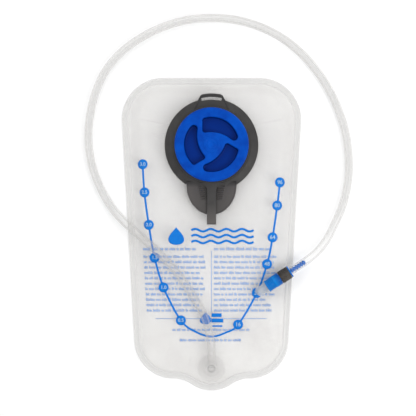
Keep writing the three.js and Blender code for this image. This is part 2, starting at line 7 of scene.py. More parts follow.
import bmesh
import bpy
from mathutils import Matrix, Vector, noise
from mathutils.bvhtree import BVHTree
from mathutils.geometry import tessellate_polygon
from mathutils.kdtree import KDTree


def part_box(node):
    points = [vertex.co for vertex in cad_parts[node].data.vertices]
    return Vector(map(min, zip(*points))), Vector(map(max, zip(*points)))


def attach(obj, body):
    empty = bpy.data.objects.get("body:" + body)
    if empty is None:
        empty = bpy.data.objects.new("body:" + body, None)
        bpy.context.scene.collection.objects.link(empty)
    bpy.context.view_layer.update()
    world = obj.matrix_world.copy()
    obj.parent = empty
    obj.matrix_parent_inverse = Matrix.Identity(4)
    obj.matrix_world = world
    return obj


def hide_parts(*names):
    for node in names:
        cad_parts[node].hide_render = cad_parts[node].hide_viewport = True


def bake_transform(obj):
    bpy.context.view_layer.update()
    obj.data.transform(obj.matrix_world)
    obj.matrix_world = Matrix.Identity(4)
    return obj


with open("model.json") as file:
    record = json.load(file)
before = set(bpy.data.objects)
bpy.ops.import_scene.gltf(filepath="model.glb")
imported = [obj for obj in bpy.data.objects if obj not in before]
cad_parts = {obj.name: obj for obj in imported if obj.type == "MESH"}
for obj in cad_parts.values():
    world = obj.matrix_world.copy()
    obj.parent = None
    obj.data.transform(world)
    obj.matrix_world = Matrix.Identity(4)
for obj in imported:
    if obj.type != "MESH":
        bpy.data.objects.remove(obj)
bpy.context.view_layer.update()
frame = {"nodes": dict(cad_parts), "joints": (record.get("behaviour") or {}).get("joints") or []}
MM = 0.001
UP = Vector((0, 0, 1))


# ---- places and sizes from the frame, in millimetres ----
def node_box(node):
    """A CAD node's lowest and highest corners."""
    low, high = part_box(node)
    return low / MM, high / MM


def joint_named(name):
    return next(joint for joint in frame["joints"] if joint["name"] == name)


BAG_LOW, BAG_HIGH = node_box("back_film")
BAG_HALF_LENGTH = BAG_HIGH.y
BAG_HALF_WIDTH = BAG_HIGH.x
COLLAR_LOW, COLLAR_HIGH = node_box("port_collar")
CAP_FOOT = node_box("cap")[0].z
FLANGE_LOW, FLANGE_HIGH = node_box("outlet_flange")
ELBOW_TOP = node_box("outlet_elbow")[1].z
PORT = Vector(joint_named("cap_turn")["pos_m"]) / MM
PORT.z = 0
OUTLET = Vector((0, (FLANGE_LOW.y + FLANGE_HIGH.y) / 2, 0))
VALVE_ORIGIN = Vector(joint_named("lock_turn")["pos_m"]) / MM
VALVE_AXIS = Vector(joint_named("lock_turn")["axis"])

# ---- driving dimensions ----
TOP_CORNER = 50  # radius
BOTTOM_CORNER = 47
SIDE_TAPER = 15  # the bag is narrower at its foot on each side
TOP_SIDE_END = 137.3  # where the straight side ends
BOTTOM_SIDE_END = -126
LOBE_RADIUS = 41
LOBE_Y = LOBE_RADIUS - BAG_HALF_LENGTH
FILM = 0.6
WELD = 7
SHOULDER = 24
LOBE_SHOULDER = 11
PLATEAU = 13.8
WAIST_HEIGHT = 8
LOBE_HEIGHT = 4.6
PORT_HOLE = 39
OUTLET_HOLE = 4.6
OUTLET_AXIS = 14.5  # height of the elbow's branch

HOSE_RADIUS = 4.7
HOSE_BORE = 3.35
# The hose's centre line from the outlet to the bite valve, in metres.
HOSE_ROUTE = [
    (0, -0.1504, 0.0145), (0, -0.1400, 0.0145), (-0.0002, -0.1290, 0.0144),
    (-0.0026, -0.1174, 0.0137), (-0.0094, -0.0956, 0.0134), (-0.0244, -0.0696, 0.0141),
    (-0.0416, -0.0446, 0.0148), (-0.0632, -0.0216, 0.0176), (-0.0837, -0.0026, 0.0175),
    (-0.1042, 0.0151, 0.0110), (-0.1200, 0.0330, 0.0060), (-0.1341, 0.0579, 0.0049),
    (-0.1436, 0.0858, 0.0048), (-0.1472, 0.1137, 0.0048), (-0.1452, 0.1426, 0.0048),
    (-0.1382, 0.1706, 0.0048), (-0.1261, 0.1965, 0.0048), (-0.1071, 0.2184, 0.0048),
    (-0.0837, 0.2353, 0.0048), (-0.0578, 0.2479, 0.0048), (-0.0304, 0.2559, 0.0048),
    (-0.0018, 0.2585, 0.0048), (0.0269, 0.2566, 0.0048), (0.0546, 0.2493, 0.0048),
    (0.0807, 0.2369, 0.0048), (0.1037, 0.2197, 0.0048), (0.1232, 0.1987, 0.0048),
    (0.1393, 0.1749, 0.0048), (0.1518, 0.1490, 0.0048), (0.1602, 0.1215, 0.0048),
    (0.1639, 0.0930, 0.0048), (0.1632, 0.0643, 0.0049), (0.1571, 0.0362, 0.0050),
    (0.1458, 0.0099, 0.0068), (0.1372, -0.0063, 0.0098), (0.1256, -0.0205, 0.0134),
    (0.1116, -0.0319, 0.0159), (0.1028, -0.0377, 0.0162), (0.0939, -0.0435, 0.0162),
]


# ---- camera ----
CAMERA_HEIGHT = 1.5
CAMERA_X = -0.0042
CAMERA_Y = 0.0314
VIEW_WIDTH = 0.4992  # what the camera sees across the floor


def make_camera():
    data = bpy.data.cameras.new("camera")
    data.angle = 2 * atan(VIEW_WIDTH / 2 / CAMERA_HEIGHT)
    camera = bpy.data.objects.new("camera", data)
    camera.location = (CAMERA_X, CAMERA_Y, CAMERA_HEIGHT)
    bpy.context.scene.collection.objects.link(camera)
    bpy.context.scene.camera = camera


# ---- numbers ----
def mix(a, b, share):
    return a + (b - a) * share


def smoothstep(value, low, high):
    share = min(max((value - low) / (high - low), 0), 1)
    return share * share * (3 - 2 * share)


def bearings(count):
    """Bearings evenly spaced round a circle, in radians."""
    return [2 * pi * i / count for i in range(count)]


def arc(x, y, radius, start, end, steps=8, clockwise=False):
    """Points on an arc from one bearing to another, in radians."""
    turn = (end - start) % (2 * pi)
    if clockwise:
        turn -= 2 * pi
    angles = [start + turn * step / steps for step in range(steps + 1)]
    return [(x + radius * cos(a), y + radius * sin(a)) for a in angles]


def rounded(corners, steps=5, closed=True):
    """An outline through corners of (x, y, fillet radius)."""
    points = []
    for i, (x, y, radius) in enumerate(corners):
        here = Vector((x, y))
        if radius == 0 or (not closed and i in (0, len(corners) - 1)):
            points.append((x, y))
            continue
        before = Vector(corners[i - 1][:2]) - here
        after = Vector(corners[(i + 1) % len(corners)][:2]) - here
        half = before.angle(after) / 2
        if pi / 2 - half < 0.01:  # the line runs straight on
            points.append((x, y))
            continue
        reach = min(radius / tan(half), 0.49 * before.length, 0.49 * after.length)
        start = before.normalized() * reach
        end = after.normalized() * reach
        centre = (start + end) / (2 * cos(half) ** 2)
        first = atan2(start.y - centre.y, start.x - centre.x)
        last = atan2(end.y - centre.y, end.x - centre.x)
        turn = (last - first + pi) % (2 * pi) - pi
        size = reach * tan(half)
        for step in range(steps + 1):
            angle = first + turn * step / steps
            points.append((x + centre.x + size * cos(angle), y + centre.y + size * sin(angle)))
    return points


def offset(loop, distance):
    """A closed outline moved to its left by a distance."""
    moved = []
    for i, point in enumerate(loop):
        here = Vector(point)
        one = (here - Vector(loop[i - 1])).normalized()
        two = (Vector(loop[(i + 1) % len(loop)]) - here).normalized()
        normal = Vector((-one.y - two.y, one.x + two.x))
        moved.append(here + normal * (2 * distance / max(normal.length_squared, 0.5)))
    return moved


def spaced(points, count):
    """A closed outline as a count of points an equal distance apart, with their directions."""
    loop = [Vector(p) for p in points]
    lengths = [0]
    for i in range(len(loop)):
        lengths.append(lengths[-1] + (loop[(i + 1) % len(loop)] - loop[i]).length)
    found = []
    segment = 0
    for step in range(count):
        target = lengths[-1] * step / count
        while lengths[segment + 1] < target:
            segment += 1
        a = loop[segment]
        b = loop[(segment + 1) % len(loop)]
        share = (target - lengths[segment]) / max(lengths[segment + 1] - lengths[segment], 1e-9)
        found.append((a.lerp(b, share), (b - a).normalized()))
    return found


# ---- meshes ----
def skin(loops, around=True, along=False):
    """Points and quads between loops that have the same number of points."""
    count = len(loops[0])
    points = [tuple(point) for loop in loops for point in loop]
    faces = []
    for row in range(len(loops) if along else len(loops) - 1):
        above = (row + 1) % len(loops)
        for column in range(count if around else count - 1):
            beside = (column + 1) % count
            faces.append(
                (row * count + column, row * count + beside, above * count + beside, above * count + column)
            )
    return points, faces


def merged(*shapes):
    """Several shapes as one list of points and one of faces."""
    points, faces = [], []
    for some_points, some_faces in shapes:
        start = len(points)
        points.extend(some_points)
        faces.extend(tuple(i + start for i in face) for face in some_faces)
    return points, faces


def drawn_shut(loops):
    """A skin whose end loops are drawn to their middles."""
    ends = []
    for loop in (loops[0], loops[-1]):
        centre = sum((Vector(point) for point in loop), Vector()) / len(loop)
        ends.append([tuple(centre)] * len(loop))
    return skin([ends[0]] + loops + [ends[1]])


def moved(shape, by):
    points, faces = shape
    return [(x + by[0], y + by[1], z + by[2]) for x, y, z in points], faces


def lathe(profile, segments=96, closed=True):
    """A profile of (radius, height) turned about Z. An open profile begins and ends on the axis."""
    angles = bearings(segments)
    loops = [[(radius * cos(a), radius * sin(a), z) for a in angles] for radius, z in profile]
    return skin(loops, along=closed)


def plate(outline, holes, levels):
    """A solid between flat ends. Each level is (inset, height), from the bottom to the top."""
    shapes = []
    ends = {0: [], -1: []}
    for side, loop in [(1, outline)] + [(-1, hole) for hole in holes]:
        loops = [[(x, y, z) for x, y in offset(loop, side * inset)] for inset, z in levels]
        shapes.append(skin(loops))
        for end in ends:
            ends[end].append(loops[end])
    for loops in ends.values():
        rings = [[Vector(point) for point in loop] for loop in loops]
        points = [tuple(point) for ring in rings for point in ring]
        shapes.append((points, [tuple(face) for face in tessellate_polygon(rings)]))
    return merged(*shapes)


def edge_levels(bottom, top, fillet, steps=4):
    """Levels of a plate whose edges are rounded."""
    quarter = [pi / 2 * i / steps for i in range(steps + 1)]
    low = [(fillet * (1 - sin(a)), bottom + fillet * (1 - cos(a))) for a in quarter]
    high = [(inset, top + bottom - z) for inset, z in reversed(low)]
    return low + high


def sweep(path, radius, sides, thickness):
    """A hollow tube along a path."""
    last = len(path) - 1
    directions = [(path[min(i + 1, last)] - path[max(i - 1, 0)]).normalized() for i in range(len(path))]
    across = directions[0].cross(UP).normalized()
    frames = []
    for direction in directions:
        across = (across - direction * across.dot(direction)).normalized()
        frames.append((across, direction.cross(across)))

    def loops(size):
        made = []
        for centre, (one, two) in zip(path, frames):
            made.append([centre + size * (one * cos(a) + two * sin(a)) for a in bearings(sides)])
        return made

    return skin(loops(radius) + loops(radius - thickness)[::-1], along=True)


def along_valve(shape):
    """A shape drawn about Z, turned onto the bite valve's axis."""
    points, faces = shape
    turn = UP.rotation_difference(VALVE_AXIS)
    return [tuple(VALVE_ORIGIN + turn @ Vector(point)) for point in points], faces


def build(name, shape, materials, sharp=40, solid=None):
    """A mesh object from a shape in millimetres. solid is the thickness of a thin sheet."""
    points, faces = shape
    mesh = bpy.data.meshes.new(name)
    mesh.from_pydata([(x * MM, y * MM, z * MM) for x, y, z in points], [], faces)
    tidy = bmesh.new()
    tidy.from_mesh(mesh)
    bmesh.ops.remove_doubles(tidy, verts=tidy.verts, dist=0.0005 * MM)
    bmesh.ops.dissolve_degenerate(tidy, edges=tidy.edges, dist=0.0001 * MM)
    bmesh.ops.recalc_face_normals(tidy, faces=tidy.faces)
    tidy.to_mesh(mesh)
    tidy.free()
    mesh.shade_smooth()
    mesh.set_sharp_from_angle(angle=radians(sharp))
    for material in materials if isinstance(materials, list) else [materials]:
        mesh.materials.append(material)
    thing = bpy.data.objects.new(name, mesh)
    bpy.context.scene.collection.objects.link(thing)
    if solid:
        sheet = thing.modifiers.new("thickness", "SOLIDIFY")
        sheet.thickness = solid * MM
        sheet.offset = 0
    return thing


def combine(thing, others, operation):
    """Joins other closed pieces to one, or cuts them from it, and removes them."""
    for other in others:
        step = thing.modifiers.new(operation, "BOOLEAN")
        step.operation = operation
        step.solver = "MANIFOLD"
        step.object = other
    graph = bpy.context.evaluated_depsgraph_get()
    mesh = bpy.data.meshes.new_from_object(thing.evaluated_get(graph))
    thing.modifiers.clear()
    thing.data = mesh
    for other in others:
        bpy.data.objects.remove(other)
    mesh.shade_smooth()
    mesh.set_sharp_from_angle(angle=radians(35))
    return thing


def belongs(thing, body, slot, *nodes):
    """The piece rides on the body and stands for the CAD nodes, which it hides. The slot is not used."""
    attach(thing, body)
    if nodes:
        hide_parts(*nodes)
    return thing


# ---- materials ----
class Finish:
    """A node material with a few short ways to vary it over the surface."""

    def __init__(self, name, roughness=0.5, specular=0.5):
        self.material = bpy.data.materials.new(name)
        self.material.use_nodes = True
        self.nodes = self.material.node_tree.nodes
        self.links = self.material.node_tree.links
        self.shader = self.nodes["Principled BSDF"]
        self.shader.inputs["Roughness"].default_value = roughness
        self.shader.inputs["Specular IOR Level"].default_value = specular
        self.place = self.nodes.new("ShaderNodeTexCoord").outputs["Object"]

    def node(self, kind, **values):
        made = self.nodes.new(kind)
        for name, value in values.items():
            made.inputs[name].default_value = value
        return made

    def speckle(self, size, detail=3):
        """Soft noise with features of a size in millimetres."""
        made = self.node("ShaderNodeTexNoise", Scale=1 / (size * MM), Detail=detail)
        self.links.new(self.place, made.inputs["Vector"])
        return made.outputs["Fac"]

    def ramp(self, value, stops):
        """A value turned into a colour, through (position, colour) stops."""
        made = self.nodes.new("ShaderNodeValToRGB")
        while len(made.color_ramp.elements) < len(stops):
            made.color_ramp.elements.new(0.5)
        for element, (position, colour) in zip(made.color_ramp.elements, stops):
            element.position = position
            element.color = (*colour, 1)
        self.links.new(value, made.inputs["Fac"])
        return made.outputs["Color"]

    def range(self, value, low, high, to_low, to_high):
        made = self.nodes.new("ShaderNodeMapRange")
        made.clamp = True
        for socket, number in zip(("From Min", "From Max", "To Min", "To Max"), (low, high, to_low, to_high)):
            made.inputs[socket].default_value = number
        self.links.new(value, made.inputs["Value"])
        return made.outputs["Result"]

    def mixed(self, share, one, two):
        made = self.nodes.new("ShaderNodeMix")
        made.data_type = "RGBA"
        self.links.new(share, made.inputs["Factor"])
        for socket, colour in ((made.inputs[6], one), (made.inputs[7], two)):
            if isinstance(colour, tuple):
                socket.default_value = (*colour, 1)
            else:
                self.links.new(colour, socket)
        return made.outputs[2]

    def calculate(self, operation, one, two):
        made = self.nodes.new("ShaderNodeMath")
        made.operation = operation
        for socket, value in zip(made.inputs, (one, two)):
            if isinstance(value, (int, float)):
                socket.default_value = value
            else:
                self.links.new(value, socket)
        return made.outputs["Value"]

    def axis(self, name):
        made = self.nodes.new("ShaderNodeSeparateXYZ")
        self.links.new(self.place, made.inputs["Vector"])
        return made.outputs[name]

    def vector(self, operation, one, two):
        """Vector maths on a socket and a fixed vector."""
        made = self.nodes.new("ShaderNodeVectorMath")
        made.operation = operation
        self.links.new(one, made.inputs[0])
        made.inputs[1].default_value = two
        return made.outputs["Value" if operation in ("DISTANCE", "DOT_PRODUCT") else "Vector"]

    def colour(self, value):
        self.links.new(value, self.shader.inputs["Base Color"])

    def tint(self, share, colour):
        """Another colour, laid by its share over what was given so far."""
        tone = self.shader.inputs["Base Color"].links[0].from_socket
        self.colour(self.mixed(share, tone, colour))

    def clouds(self, size, detail, dark, light):
        """A colour that drifts between two."""
        self.colour(self.ramp(self.speckle(size, detail), [(0.3, dark), (0.7, light)]))

    def gloss(self, size, smooth, rough):
        """A roughness that drifts between two."""
        self.roughness(self.range(self.speckle(size), 0.3, 0.7, smooth, rough))

    def roughness(self, value):
        self.links.new(value, self.shader.inputs["Roughness"])

    def alpha(self, value):
        self.links.new(value, self.shader.inputs["Alpha"])

    def bump(self, value, depth):
        """Relief of a depth in millimetres."""
        made = self.node("ShaderNodeBump", Strength=1.0, Distance=depth * MM)
        self.links.new(value, made.inputs["Height"])
        self.links.new(made.outputs["Normal"], self.shader.inputs["Normal"])

    def facing(self, blend):
        """0 where the surface faces the eye and 1 at its edge, for the look of clear walls."""
        made = self.node("ShaderNodeLayerWeight", Blend=blend)
        return made.outputs["Facing"]


def moulded(name, dark, light, roughness, grain=0.35, depth=0.012, specular=0.3):
    """Moulded plastic or rubber: cloudy tone, fine grain and uneven gloss."""
    finish = Finish(name, roughness, specular)
    spread = 14
    finish.clouds(spread, 4, dark, light)
    finish.gloss(spread / 3, roughness - 0.05, roughness + 0.07)
    finish.bump(finish.speckle(grain, 2), depth)
    return finish


def clear_plastic(name, dark, light, centre, edge, roughness=0.18, specular=0.5, relief=0.008):
    """Clear plastic walls: faint where they face the eye and denser at their edges."""
    finish = Finish(name, roughness, specular)
    finish.clouds(9, 3, dark, light)
    finish.alpha(finish.range(finish.facing(0.35), 0.1, 0.95, centre, edge))
    finish.gloss(5, roughness - 0.06, roughness + 0.1)
    finish.bump(finish.speckle(3.5, 2), relief)
    return finish


def film_material():
    """Milky polyurethane film, denser in its welded band."""
    finish = Finish("milky_film", 0.34)
    inset = finish.nodes.new("ShaderNodeAttribute")
    inset.attribute_name = "inset"
    welded = finish.range(inset.outputs["Fac"], WELD - 1, WELD + 1.5, 1, 0)
    haze = finish.ramp(finish.speckle(70, 3), [(0.3, (0.82, 0.805, 0.79)), (0.7, (0.88, 0.87, 0.855))])
    finish.colour(finish.mixed(welded, haze, (0.86, 0.855, 0.845)))
    clouds = finish.range(finish.speckle(45, 3), 0.3, 0.75, 0.17, 0.21)
    finish.alpha(finish.calculate("ADD", clouds, finish.calculate("MULTIPLY", welded, 0.16)))
    finish.roughness(finish.range(finish.speckle(30, 2), 0.3, 0.7, 0.22, 0.32))
    finish.bump(finish.speckle(1.4, 2), 0.004)
    return finish.material


def ink_material(name, dark, light):
    """Printed ink: nearly flat in tone, a little uneven in gloss."""
    finish = Finish(name, 0.42, specular=0.2)
    finish.clouds(3, 4, dark, light)
    finish.gloss(1.5, 0.36, 0.5)
    finish.bump(finish.speckle(0.4, 2), 0.004)
    return finish.material


def cap_material():
    """Blue plastic, with painted shade darkening the finger pockets, darkest where their floors turn up."""
    finish = moulded("cap_blue", (0.0, 0.044, 0.34), (0.0, 0.076, 0.48), 0.36, specular=0.06)
    height = finish.axis("Z")
    depth = finish.range(height, 0.0275, 0.0352, 1, 0)
    level = finish.vector("MULTIPLY", finish.place, (1, 1, 0))
    from_port = finish.vector("DISTANCE", level, tuple(PORT * MM))
    among_pockets = finish.range(from_port, 0.0340, 0.0352, 1, 0)
    wall_shade_share = finish.range(height, 0.02702, 0.0284, 0, 1)
    pocket = finish.mixed(wall_shade_share, (0.0, 0.024, 0.21), (0.0, 0.007, 0.095))
    # painted shade: the pocket floors and walls are darkened, most where the floors turn up into the walls
    finish.tint(finish.calculate("MULTIPLY", depth, among_pockets), pocket)
    return finish.material


def sleeve_material():
    """Clear blue plastic, with painted shade in its ring grooves, and deeper over the plug inside its foot.
    """
    finish = clear_plastic("sleeve_blue", (0.0, 0.18, 0.58), (0.0, 0.235, 0.70), 0.86, 0.97, specular=0.2)
    start = VALVE_ORIGIN.dot(VALVE_AXIS) * MM
    reach = finish.vector("DOT_PRODUCT", finish.place, tuple(VALVE_AXIS))
    along = finish.calculate("DIVIDE", finish.calculate("SUBTRACT", reach, start), MM)
    over_plug = finish.range(along, 17, 22, 1, 0)
    from_first = finish.calculate("SUBTRACT", along, SLEEVE_RINGS[0] - RING_WIDTH / 2)
    wave = finish.calculate("PINGPONG", from_first, RING_WIDTH)
    groove_shade = finish.range(wave, 0.4, 0.7, 0, 1)
    for limit in (finish.range(along, 23, 23.2, 0, 1), finish.range(along, 31.7, 31.9, 1, 0)):
        groove_shade = finish.calculate("MULTIPLY", groove_shade, limit)
    finish.tint(over_plug, (0.0, 0.095, 0.42))
    # painted shade darkens each ring groove
    finish.tint(groove_shade, (0.0, 0.14, 0.53))
    return finish


def collar_material():
    """Grey moulding; painted light makes the sides of its grip tongue paler, leaving painted shade beside the
    strap.
    """
    finish = moulded("collar_grey", (0.034, 0.032, 0.031), (0.044, 0.042, 0.041), 0.5, 0.5, 0.02)
    on_tongue = finish.range(finish.axis("Y"), 0.0560, 0.0605, 1, 0)
    aside = finish.range(finish.calculate("ABSOLUTE", finish.axis("X"), 0), 0.004, 0.026, 0.35, 1)
    painted_light_aside = finish.calculate("MULTIPLY", on_tongue, aside)
    # painted light: the tongue's sides are lightened, and the part beside the strap keeps the darker painted
    # shade
    finish.tint(painted_light_aside, (0.080, 0.073, 0.071))
    return finish.material


def tether_material():
    """The same grey, with a painted highlight where the strap folds under the tongue."""
    finish = moulded("tether_grey", (0.036, 0.034, 0.033), (0.046, 0.044, 0.043), 0.55, 0.5, 0.02)
    fold_highlight = finish.range(finish.axis("Y"), 0.012, 0.036, 1, 0)
    # painted highlight on the curve of the strap's fold
    finish.tint(fold_highlight, (0.098, 0.090, 0.086))
    return finish.material


def floor_material():
    finish = Finish("pale_floor", 0.9)
    finish.colour(finish.ramp(finish.speckle(260, 2), [(0.2, (0.90, 0.90, 0.90)), (0.8, (0.93, 0.93, 0.93))]))
    return finish.material


# ---- the bag ----
def bag_outline(corner_steps=24):
    """The bag's outline, clockwise from the middle of its top edge."""
    top_x = BAG_HALF_WIDTH - TOP_CORNER
    bottom_x = BAG_HALF_WIDTH - SIDE_TAPER - BOTTOM_CORNER
    drop = BOTTOM_SIDE_END - BOTTOM_CORNER
    depth = LOBE_Y - drop
    fillet = (bottom_x**2 + depth**2 - LOBE_RADIUS**2) / (2 * (LOBE_RADIUS - depth))
    fillet_y = drop - fillet
    lobe = atan2(fillet_y - LOBE_Y, bottom_x)
    quarter = pi / 2
    right = [(0, BAG_HALF_LENGTH)]
    right += arc(top_x, TOP_SIDE_END, TOP_CORNER, quarter, 0, corner_steps, clockwise=True)
    right += arc(bottom_x, BOTTOM_SIDE_END, BOTTOM_CORNER, 0, -quarter, corner_steps, clockwise=True)
    right += arc(bottom_x, fillet_y, fillet, quarter, lobe + pi, 12)
    right += arc(0, LOBE_Y, LOBE_RADIUS, lobe, -quarter, 14, clockwise=True)[1:]
    left = [(-x, y) for x, y in reversed(right[1:-1])]
    return right + left


def film_height(inset, y):
    """Height of the front film's upper face before its creases."""
    upper = smoothstep(y, -62, 4)
    lower = smoothstep(y, -142, -92)
    raised = mix(mix(LOBE_HEIGHT, WAIST_HEIGHT, lower), PLATEAU, upper)
    shoulder = mix(LOBE_SHOULDER, SHOULDER, smoothstep(y, -145, -112))
    return mix(2 * FILM + 0.15, raised, smoothstep(inset, WELD, shoulder))


def weld_relief(inset):
    """The two fine ridges that the heated tool leaves along the weld."""
    outer = exp(-(((inset - 1.1) / 0.45) ** 2))
    inner = exp(-(((inset - 6.0) / 0.55) ** 2))
    return 0.22 * outer + 0.3 * inner - 0.12 * smoothstep(inset, 1.5, 3) * (1 - smoothstep(inset, 4.5, 6))


def hose_line(steps=9):
    """The hose's smooth centre line, in millimetres: a centripetal curve through its route."""
    stops = [Vector(point) / MM for point in HOSE_ROUTE]
    stops = [2 * stops[0] - stops[1]] + stops + [2 * stops[-1] - stops[-2]]
    line = []
    for i in range(1, len(stops) - 2):
        a, b, c, d = stops[i - 1 : i + 3]
        ab, bc, cd = (sqrt((q - p).length) for p, q in ((a, b), (b, c), (c, d)))
        leave = ((b - a) / ab - (c - a) / (ab + bc) + (c - b) / bc) * bc
        arrive = ((c - b) / bc - (d - b) / (bc + cd) + (d - c) / cd) * bc
        for step in range(steps):
            t = step / steps
            line.append(
                b * (2 * t**3 - 3 * t**2 + 1)
                + leave * (t**3 - 2 * t**2 + t)
                + c * (3 * t**2 - 2 * t**3)
                + arrive * (t**3 - t**2)
            )
    line.append(stops[-2])
    return line


class Creases:
    """Soft folds in the front film. They never rise into the hose, the collar or the outlet."""

    COUNT = 18
    HIGHEST_UNDER_HOSE = 0.15
    LOWEST = -1.5

    def __init__(self, hose):
        chance = random.Random(11)
        self.folds = []
        for _ in range(self.COUNT):
            side = chance.choice((-1, 1))
            y = chance.uniform(-150, 165)
            x = side * chance.uniform(40, 92)
            bearing = chance.uniform(-0.5, 0.5) + (0 if side > 0 else pi)
            length = chance.uniform(20, 52)
            height = chance.uniform(0.6, 1.5) * chance.choice((-1, 1))
            width = chance.uniform(3, 7)
            self.folds.append((x, y, bearing, length, height, width))
        self.tree = KDTree(len(hose))
        for i, point in enumerate(hose):
            self.tree.insert((point.x, point.y, 0), i)
        self.tree.balance()

    def at(self, inset, x, y, share):
        to_port = hypot(x - PORT.x, y - PORT.y)
        to_outlet = hypot(x - OUTLET.x, y - OUTLET.y)
        free = smoothstep(inset, WELD, WELD + 7) * smoothstep(to_port, 57, 74) * smoothstep(to_outlet, 16, 27)
        if free == 0:
            return 0
        height = 1.5 * noise.noise(Vector((x / 42, y / 50, 2.7)))
        height += 0.3 * noise.noise(Vector((x / 22, y / 30, 8.1)))
        pucker = sin(share * 400 + 5 * noise.noise(Vector((share * 30, 0, 1))))
        near_weld = smoothstep(inset, WELD, WELD + 4) * (1 - smoothstep(inset, 14, 30))
        height += 0.35 * pucker * near_weld * (0.5 + noise.noise(Vector((share * 22, 3, 0))))
        for fold_x, fold_y, bearing, length, size, width in self.folds:
            dx, dy = x - fold_x, y - fold_y
            along = dx * cos(bearing) + dy * sin(bearing)
            aside = dy * cos(bearing) - dx * sin(bearing) + 0.004 * along**2
            if abs(along) < length and abs(aside) < 3 * width:
                fade = 1 - smoothstep(abs(along), 0.2 * length, length)
                height += size * fade * exp(-((aside / width) ** 2))
        to_hose = self.tree.find((x, y, 0))[2]
        highest = mix(self.HIGHEST_UNDER_HOSE, 1.6, smoothstep(to_hose, 8, 20))
        return min(max(height * free, self.LOWEST), highest)


def film_grid(creases):
    """Rows of points on the front film, from its edge to the bag's middle line."""
    insets = [0, 0.25, 0.6, 1.1, 1.6, 2.2, 3.5, 4.8, 5.4, 6.0, 6.6, 7.2, 8, 9, 10.2, 11.6, 13, 14.6, 16.3]
    insets += [18.2, 20, 22, SHOULDER]
    places = [(inset, 0) for inset in insets] + [(SHOULDER, i / 22) for i in range(1, 23)]
    rows = [[] for _ in places]
    edge_points = spaced(bag_outline(), 540)
    for step, (edge, ahead) in enumerate(edge_points):
        inward = Vector((ahead.y, -ahead.x))
        inner = edge + inward * SHOULDER
        middle = Vector((0, min(max(edge.y, LOBE_Y), 120)))
        for row, (inset, share) in zip(rows, places):
            point = inner.lerp(middle, share) if share else edge + inward * inset
            depth = inset + 30 * share
            height = film_height(inset, point.y) + weld_relief(inset)
            height += creases.at(depth, point.x, point.y, step / len(edge_points))
            row.append((point.x, point.y, height, depth))
    return rows


def store_inset(thing, rows_by_place):
    """Keeps each point's distance from the edge, which the film's material reads."""
    tree = KDTree(len(rows_by_place))
    for i, (x, y, _, _) in enumerate(rows_by_place):
        tree.insert((x, y, 0), i)
    tree.balance()
    kept = thing.data.attributes.new("inset", "FLOAT", "POINT")
    for i, vertex in enumerate(thing.data.vertices):
        near = tree.find((vertex.co.x / MM, vertex.co.y / MM, 0))[1]
        kept.data[i].value = rows_by_place[near][3]


def outline_area():
    """The area inside the bag's outline, in square metres."""
    loop = bag_outline()
    doubled = sum(a[0] * b[1] - b[0] * a[1] for a, b in zip(loop, loop[1:] + loop[:1]))
    return abs(doubled) / 2 * MM * MM


def drum(radius, centre, bottom, top):
    """A plain upright cutter."""
    shape = lathe([(0, bottom), (radius, bottom), (radius, top), (0, top)], 96, closed=False)
    return build("cutter", moved(shape, centre), [])


def make_front_film(rows, material):
    upper = [[(x, y, z) for x, y, z, _ in row] for row in rows]
    lower = [[(x, y, max(z - FILM, FILM + 0.05)) for x, y, z, _ in row] for row in rows]
    shape = skin(lower[::-1] + upper)
    film = build("front_film_skin", shape, material, sharp=70)
    port = drum(PORT_HOLE, PORT, 0, COLLAR_HIGH.z)
    outlet = drum(OUTLET_HOLE, OUTLET, 0, COLLAR_HIGH.z)
    combine(film, [port, outlet], "DIFFERENCE")
    film.data.set_sharp_from_angle(angle=radians(70))
    store_inset(film, [point for row in rows for point in row])
    belongs(film, "bag", "film", "front_film")
    declare_film()
    return film


def make_back_film(rows, material):
    upper = []
    for row in rows:
        upper.append([(x, y, FILM - 0.05 + 0.5 * weld_relief(inset) * (inset > 2)) for x, y, _, inset in row])
    lower = [[(x, y, 0) for x, y, _, _ in row] for row in rows]
    film = build("back_film_skin", skin(lower[::-1] + upper), material, sharp=70)
    store_inset(film, [point for row in rows for point in row])
    belongs(film, "bag", "film", "back_film")
    declare_film()
    return film


def declare_film():
    outline_area()


# ---- the print ----
SCALE_LEFT = [(82, 83.4), (79.8, 50), (74.6, 11.4), (67.7, -27.7), (57.2, -63.4), (36.6, -102.7)]
SCALE_FOOT = [(-19, -116.5), (0, -122.2), (17, -117.5)]
LITRES = ["3.0", "2.5", "2.0", "1.5", "1.0", "0.5"]
SCALE_RIGHT = [(81.4, 61.9), (78.1, 34.4), (72.6, -3.5), (66.2, -35.5), (54, -70), (31.7, -107.8)]
OUNCES = ["96", "80", "64", "48", "32", "16"]
DISC = 6.0
LINE_WIDTH = 2.3
INK_LIFT = 0.08
INK_THICKNESS = 0.04


class Film:
    """Finds the height of a film's upper face under any place."""

    def __init__(self, thing):
        graph = bpy.context.evaluated_depsgraph_get()
        self.tree = BVHTree.FromObject(thing, graph)

    def height(self, x, y):
        hit = self.tree.ray_cast(Vector((x * MM, y * MM, 1)), Vector((0, 0, -1)))[0]
        return hit.z / MM if hit else 0

    def draped(self, shape, lift):
        """A flat shape laid on the film."""
        points, faces = shape
        return [(x, y, self.height(x, y) + lift) for x, y, _ in points], faces


def smooth_line(stops, spacing):
    """A smooth flat curve through the stops."""
    stops = [Vector(stop) for stop in stops]
    row = [2 * stops[0] - stops[1]] + stops + [2 * stops[-1] - stops[-2]]
    line = []
    for i in range(1, len(row) - 2):
        a, b, c, d = row[i - 1 : i + 3]
        steps = max(int((c - b).length / spacing), 1)
        for step in range(steps):
            t = step / steps
            turn = (2 * a - 5 * b + 4 * c - d) * t**2
            line.append(0.5 * (2 * b + (c - a) * t + turn + (3 * b - 3 * c + d - a) * t**3))
    line.append(row[-2])
    return line


